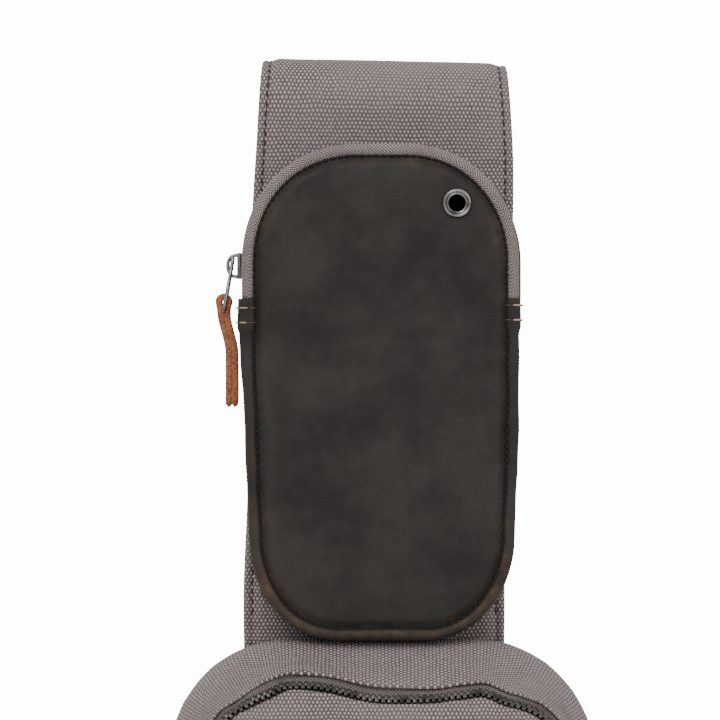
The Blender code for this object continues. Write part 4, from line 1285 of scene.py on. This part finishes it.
def zip_waver(path):
    """How far the main zip strays in from its even line, beside each point of the outline."""
    x = path[:, 0]
    dip = 0.0043 * step_between(x, -0.024, -0.001) * (1 - 0.55 * step_between(x, 0.024, 0.037))
    rise = 0.0008 * (1 - step_between(x, -0.030, -0.016))
    left = 0.0030 * step_between(-x, 0.030, 0.044) * (1 - step_between(-x, 0.058, 0.074))
    right = 0.0080 * step_between(x, 0.052, 0.080) - 0.0016 * step_between(x, 0.040, 0.050)
    stray = (dip - rise + left - right) * step_between(path[:, 1], -0.262, -0.236)
    return np.convolve(np.pad(stray, 4, mode="edge"), np.full(9, 1 / 9), "valid")


def over_shoulder(path, distance, closed):
    """Points of the body's front at a distance in from the outline, strayed where the main zip strays."""
    distance = np.broadcast_to(distance, len(path))
    pull = step_between(distance, 0.004, 0.0125) * (1 - step_between(distance, 0.022, 0.044))
    strayed = distance + zip_waver(path) * pull
    line = inset(path, strayed, closed)
    return np.stack([line[:, 0], body_front(strayed, line[:, 1]), line[:, 1]], axis=1)


def body_rows(path, closed, depths, distances):
    """Rows up the side wall at shares of its depth, then over the shoulder at distances in from the edge."""
    rows = []
    for share in depths:
        y = BODY_BACK + (body_front(0.0, path[:, 1]) - BODY_BACK) * share
        rows.append(np.stack([path[:, 0], y, path[:, 1]], axis=1))
    rows += [over_shoulder(path, distance, closed) for distance in distances]
    return np.array(rows)


def spine_rows(rim, start, shares):
    """Rows from an edge row to the body's upright middle line."""
    spine = np.clip(rim[:, 2], SPINE_LOW_Z, SPINE_TOP_Z)
    rows = []
    for share in shares:
        z = rim[:, 2] + (spine - rim[:, 2]) * share
        distance = start + (BODY_DOME - start) * share
        rows.append(np.stack([rim[:, 0] * (1 - share), body_front(distance, z), z], axis=1))
    return np.array(rows)


BODY_CENTRE = (0, BODY_BACK - 0.030, -0.360)
REAR_EDGE = MAIN_ZIP_INSET - 0.0034
FRONT_EDGE = MAIN_ZIP_INSET + 0.0020
INNER_EDGE = 0.036


def body_cloth(name, rows, closed, material, amount=1.0, lift=0.0, **options):
    """A creased shell of the body. amount scales its creases and lift raises its rows."""
    out = turned_out(rows, closed, BODY_CENTRE)
    rows = creased(rows + out * np.reshape(lift, (-1, 1, 1)), out, amount)
    return shell(name, rows, material, BODY_CENTRE, closed_cols=closed, **options)


def make_body(materials):
    outline = body_outline()
    upper = stretch(outline, MAIN_ZIP_END_Z + 0.0002, True)
    lower = stretch(outline, MAIN_ZIP_END_Z - 0.0002, False)
    wall = np.linspace(0, 1, 22)
    for name, path, last, count, flap, node in (
        ("body_top_canvas", upper, REAR_EDGE, 13, 0.0011, "upper_gusset"),
        ("body_low_canvas", lower, MAIN_ZIP_INSET + TAPE_HALF, 15, 0.0, "lower_gusset"),
    ):
        shoulder = np.linspace(0.0, last, count + 1)[1:]
        distances = np.concatenate([wall * 0, shoulder])
        rows = body_rows(path, False, wall, shoulder)
        lift = flap * step_between(distances, 0.004, last)
        cloth = body_cloth(name, rows, False, materials["canvas"], calm_edge(distances), lift)
        finish_piece(cloth, "bag", "canvas", node)
    make_front(outline, materials)
    make_main_zip(upper, materials)


def calm_edge(distances):
    """Less creasing where the body's silhouette is, full creasing on its front."""
    return (0.16 + 0.84 * step_between(distances, 0.004, 0.014))[:, None]


def front_rows(outline):
    """Rows from the front panel's edge to the body's middle line. The edge steps in below the main zip."""
    below = 1 - step_between(outline[:, 1], MAIN_ZIP_END_Z - 0.012, MAIN_ZIP_END_Z + 0.002)
    first = FRONT_EDGE + (MAIN_ZIP_INSET + TAPE_HALF + 0.0006 - FRONT_EDGE) * below
    shares = np.linspace(0, 1, 12)
    rows = np.array([over_shoulder(outline, first + (INNER_EDGE - first) * share, True) for share in shares])
    return np.concatenate([rows, spine_rows(rows[-1], INNER_EDGE, np.linspace(0, 1, 34)[1:])])


def make_front(outline, materials):
    rows = front_rows(outline)
    wear = np.clip(0.8 - 12 * np.linspace(0, 1, len(rows)), 0, 1)
    wear = np.repeat(wear[:, None], rows.shape[1], axis=1)
    for name, finish, node, side in (
        ("front_canvas", "canvas", "front_panel", 1),
        ("front_base_leather", "leather", "front_base_panel", -1),
    ):
        panel = body_cloth(
            name, rows, True, materials[finish], lift=0.0003, flat_weave=True, wear=wear, ends_in_spine=True
        )
        edge = Vector((0, 0, FRONT_ZIP_Z + side * 0.0019))
        cut_plane(panel, edge, Vector((0, 0, -side)))
        finish_piece(panel, "bag", finish, node)
    out = turned_out(rows, True, BODY_CENTRE)
    seam = (creased(rows, out) + out * 0.0004)[2]
    low = seam[:, 2] < MAIN_ZIP_END_Z
    turn = -np.flatnonzero(low & ~np.roll(low, 1))[0]
    seam, away = (np.roll(line, turn, axis=0)[: low.sum()] for line in (seam, out[2]))
    thread = stitches("front_seam_stitches", seam, away, materials["thread_dark"], 0.0030, 0.0010)
    finish_piece(thread, "bag", "canvas")
    make_front_zip(materials)


def make_front_zip(materials):
    x = np.linspace(-FRONT_ZIP_HALF_LENGTH, FRONT_ZIP_HALF_LENGTH, 60)
    z = np.full(60, FRONT_ZIP_Z)
    line = np.stack([x, body_front(BODY_HALF_WIDTH - np.abs(x), z), z], axis=1)
    for side, word in ((1, "upper"), (-1, "lower")):
        teeth = zip_row("front_coil_" + word, line, (0, -1, 0.05), (0, 0, 1), side, COIL, materials["teeth"])
        finish_piece(teeth, "bag", "zip_teeth", "front_zip_coil_" + word)
        finish_node("front_zip_tape_" + word, materials["binding"])


def make_main_zip(path, materials):
    chain = body_rows(path, False, [], MAIN_ZIP_INSET + np.array([-0.001, 0.0, 0.001]))
    out = turned_out(chain, False, BODY_CENTRE)
    chain = creased(chain, out)
    across = unit(chain[2] - chain[0])
    for side, word in ((-1, "rear"), (1, "front")):
        distances = np.sort(MAIN_ZIP_INSET + side * np.linspace(0.0010, TAPE_HALF, 5))
        rows = body_rows(path, False, [], distances)
        rows -= turned_out(rows, False, BODY_CENTRE) * 0.0005
        tape = body_cloth("main_tape_" + word, rows, False, materials["dark_tape"], thickness=0.0007)
        finish_piece(tape, "bag", "zip_tape", "main_zip_tape_" + word)
        teeth = zip_row("main_teeth_" + word, chain[1], out[1], across, side, METAL_TEETH, materials["teeth"])
        finish_piece(teeth, "bag", "zip_teeth", "main_zip_teeth_" + word)


# ---------------------------------------------------------------- back, webbing and fittings


def make_back(materials):
    for node, finish, slot in (
        ("back_panel", "lining", "lining"),
        ("back_foam", "foam_cover", "foam"),
        ("pocket_back_lining", "lining", "lining"),
        ("main_lining", "lining", "lining"),
        ("inner_pocket", "lining", "lining"),
        ("anchor_tab", "webbing", "webbing"),
        ("strap_patch", "leather", "leather"),
        ("triglide", "plastic", "black_plastic"),
    ):
        finish_node(node, materials[finish])
    make_back_pad(materials)


def make_back_pad(materials):
    """The mesh pad: the CAD pad swollen by a short cloth simulation, with sewn channels pressed in after."""
    low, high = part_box("back_mesh_pad")
    source = frame["nodes"]["back_mesh_pad"]
    pad = add_object("back_pad_mesh", source.data.copy())
    pad.data.transform(source.matrix_world)
    remesh = pad.modifiers.new("remesh", "REMESH")
    remesh.mode = "VOXEL"
    remesh.voxel_size = 0.0042
    apply_modifiers(pad)
    rest = points_of(pad.data.vertices)
    swell(pad, rest, 0.004)
    smooth = pad.modifiers.new("smooth", "SMOOTH")
    smooth.use_y = False
    smooth.iterations = 14
    subdivide = pad.modifiers.new("subdivision", "SUBSURF")
    subdivide.levels = subdivide.render_levels = 1
    apply_modifiers(pad)
    pad.data.materials.clear()
    pad.data.materials.append(materials["mesh"])
    pad.data.shade_smooth()
    points = points_of(pad.data.vertices)
    across = np.abs(points[:, 2:3] - np.array([[-0.270, -0.325, -0.380, -0.435]])).min(axis=1)
    channel = np.exp(-((across / 0.004) ** 2)) * step_between(points[:, 1], (low.y + high.y) / 2, high.y)
    points[:, 1] -= 0.0026 * channel
    pad.data.vertices.foreach_set("co", points.ravel())
    pad.data.update()
    set_weave(pad, points[:, [0, 2]])
    finish_piece(pad, "bag", "spacer_mesh", "back_mesh_pad")


def swell(obj, rest, most):
    """Inflates a closed mesh by cloth simulation and keeps every point within a distance of where it was."""
    cloth = obj.modifiers.new("cloth", "CLOTH")
    cloth.settings.use_pressure = True
    cloth.settings.uniform_pressure_force = 4.0
    cloth.settings.effector_weights.gravity = 0.0
    scene = bpy.context.scene
    for step in range(1, 21):
        scene.frame_set(step)
    depsgraph = bpy.context.evaluated_depsgraph_get()
    moved = points_of(obj.evaluated_get(depsgraph).data.vertices) - rest
    obj.modifiers.clear()
    scene.frame_set(1)
    length = np.linalg.norm(moved, axis=1, keepdims=True)
    moved *= np.minimum(1.0, most / np.maximum(length, 1e-9))
    obj.data.vertices.foreach_set("co", (rest + moved).ravel())
    obj.data.update()


def webbing(name, line, materials):
    return ribbon(name, line, WEBBING_HALF_WIDTH, 0.0, WEBBING_THICKNESS, materials["webbing"])


def make_webbing(materials):
    upper_y = 0.0217
    line = [(upper_y - 0.0005, -0.056), (upper_y, -0.078), (upper_y - 0.0005, -0.095)]
    line += [(upper_y - 0.004, -0.125), (0.0064, -0.255), (0.0024, -0.290), (0.0014, -0.315)]
    line += [(0.0014, -0.380), (0.0014, -0.440)]
    upper = webbing("webbing_long", smooth_line(line, 0.0025), materials)
    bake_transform(upper)
    finish_piece(upper, None, "webbing", "webbing_upper")

    loop = arc((-0.0009, -0.462), 0.0023, 0, -180, 20)
    line = np.concatenate([[(0.0014, -0.4402)], loop, [(-0.0032, -0.4402)]])
    lower = webbing("webbing_loop", spaced(line, 0.0012), materials)
    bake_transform(lower)
    finish_piece(lower, None, "webbing", "webbing_lower")

    line = spaced(np.array([(-0.0032, -0.4398), (-0.0032, -0.322)]), 0.0025)
    back = webbing("webbing_back_run", line, materials)
    finish_piece(back, "bag", "webbing", "webbing_return")
    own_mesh(back)


def main():
    make_camera()
    make_studio()
    materials = make_materials()
    make_strap(materials)
    make_pocket(materials)
    make_hardware(materials)
    make_body(materials)
    make_back(materials)
    make_webbing(materials)


main()
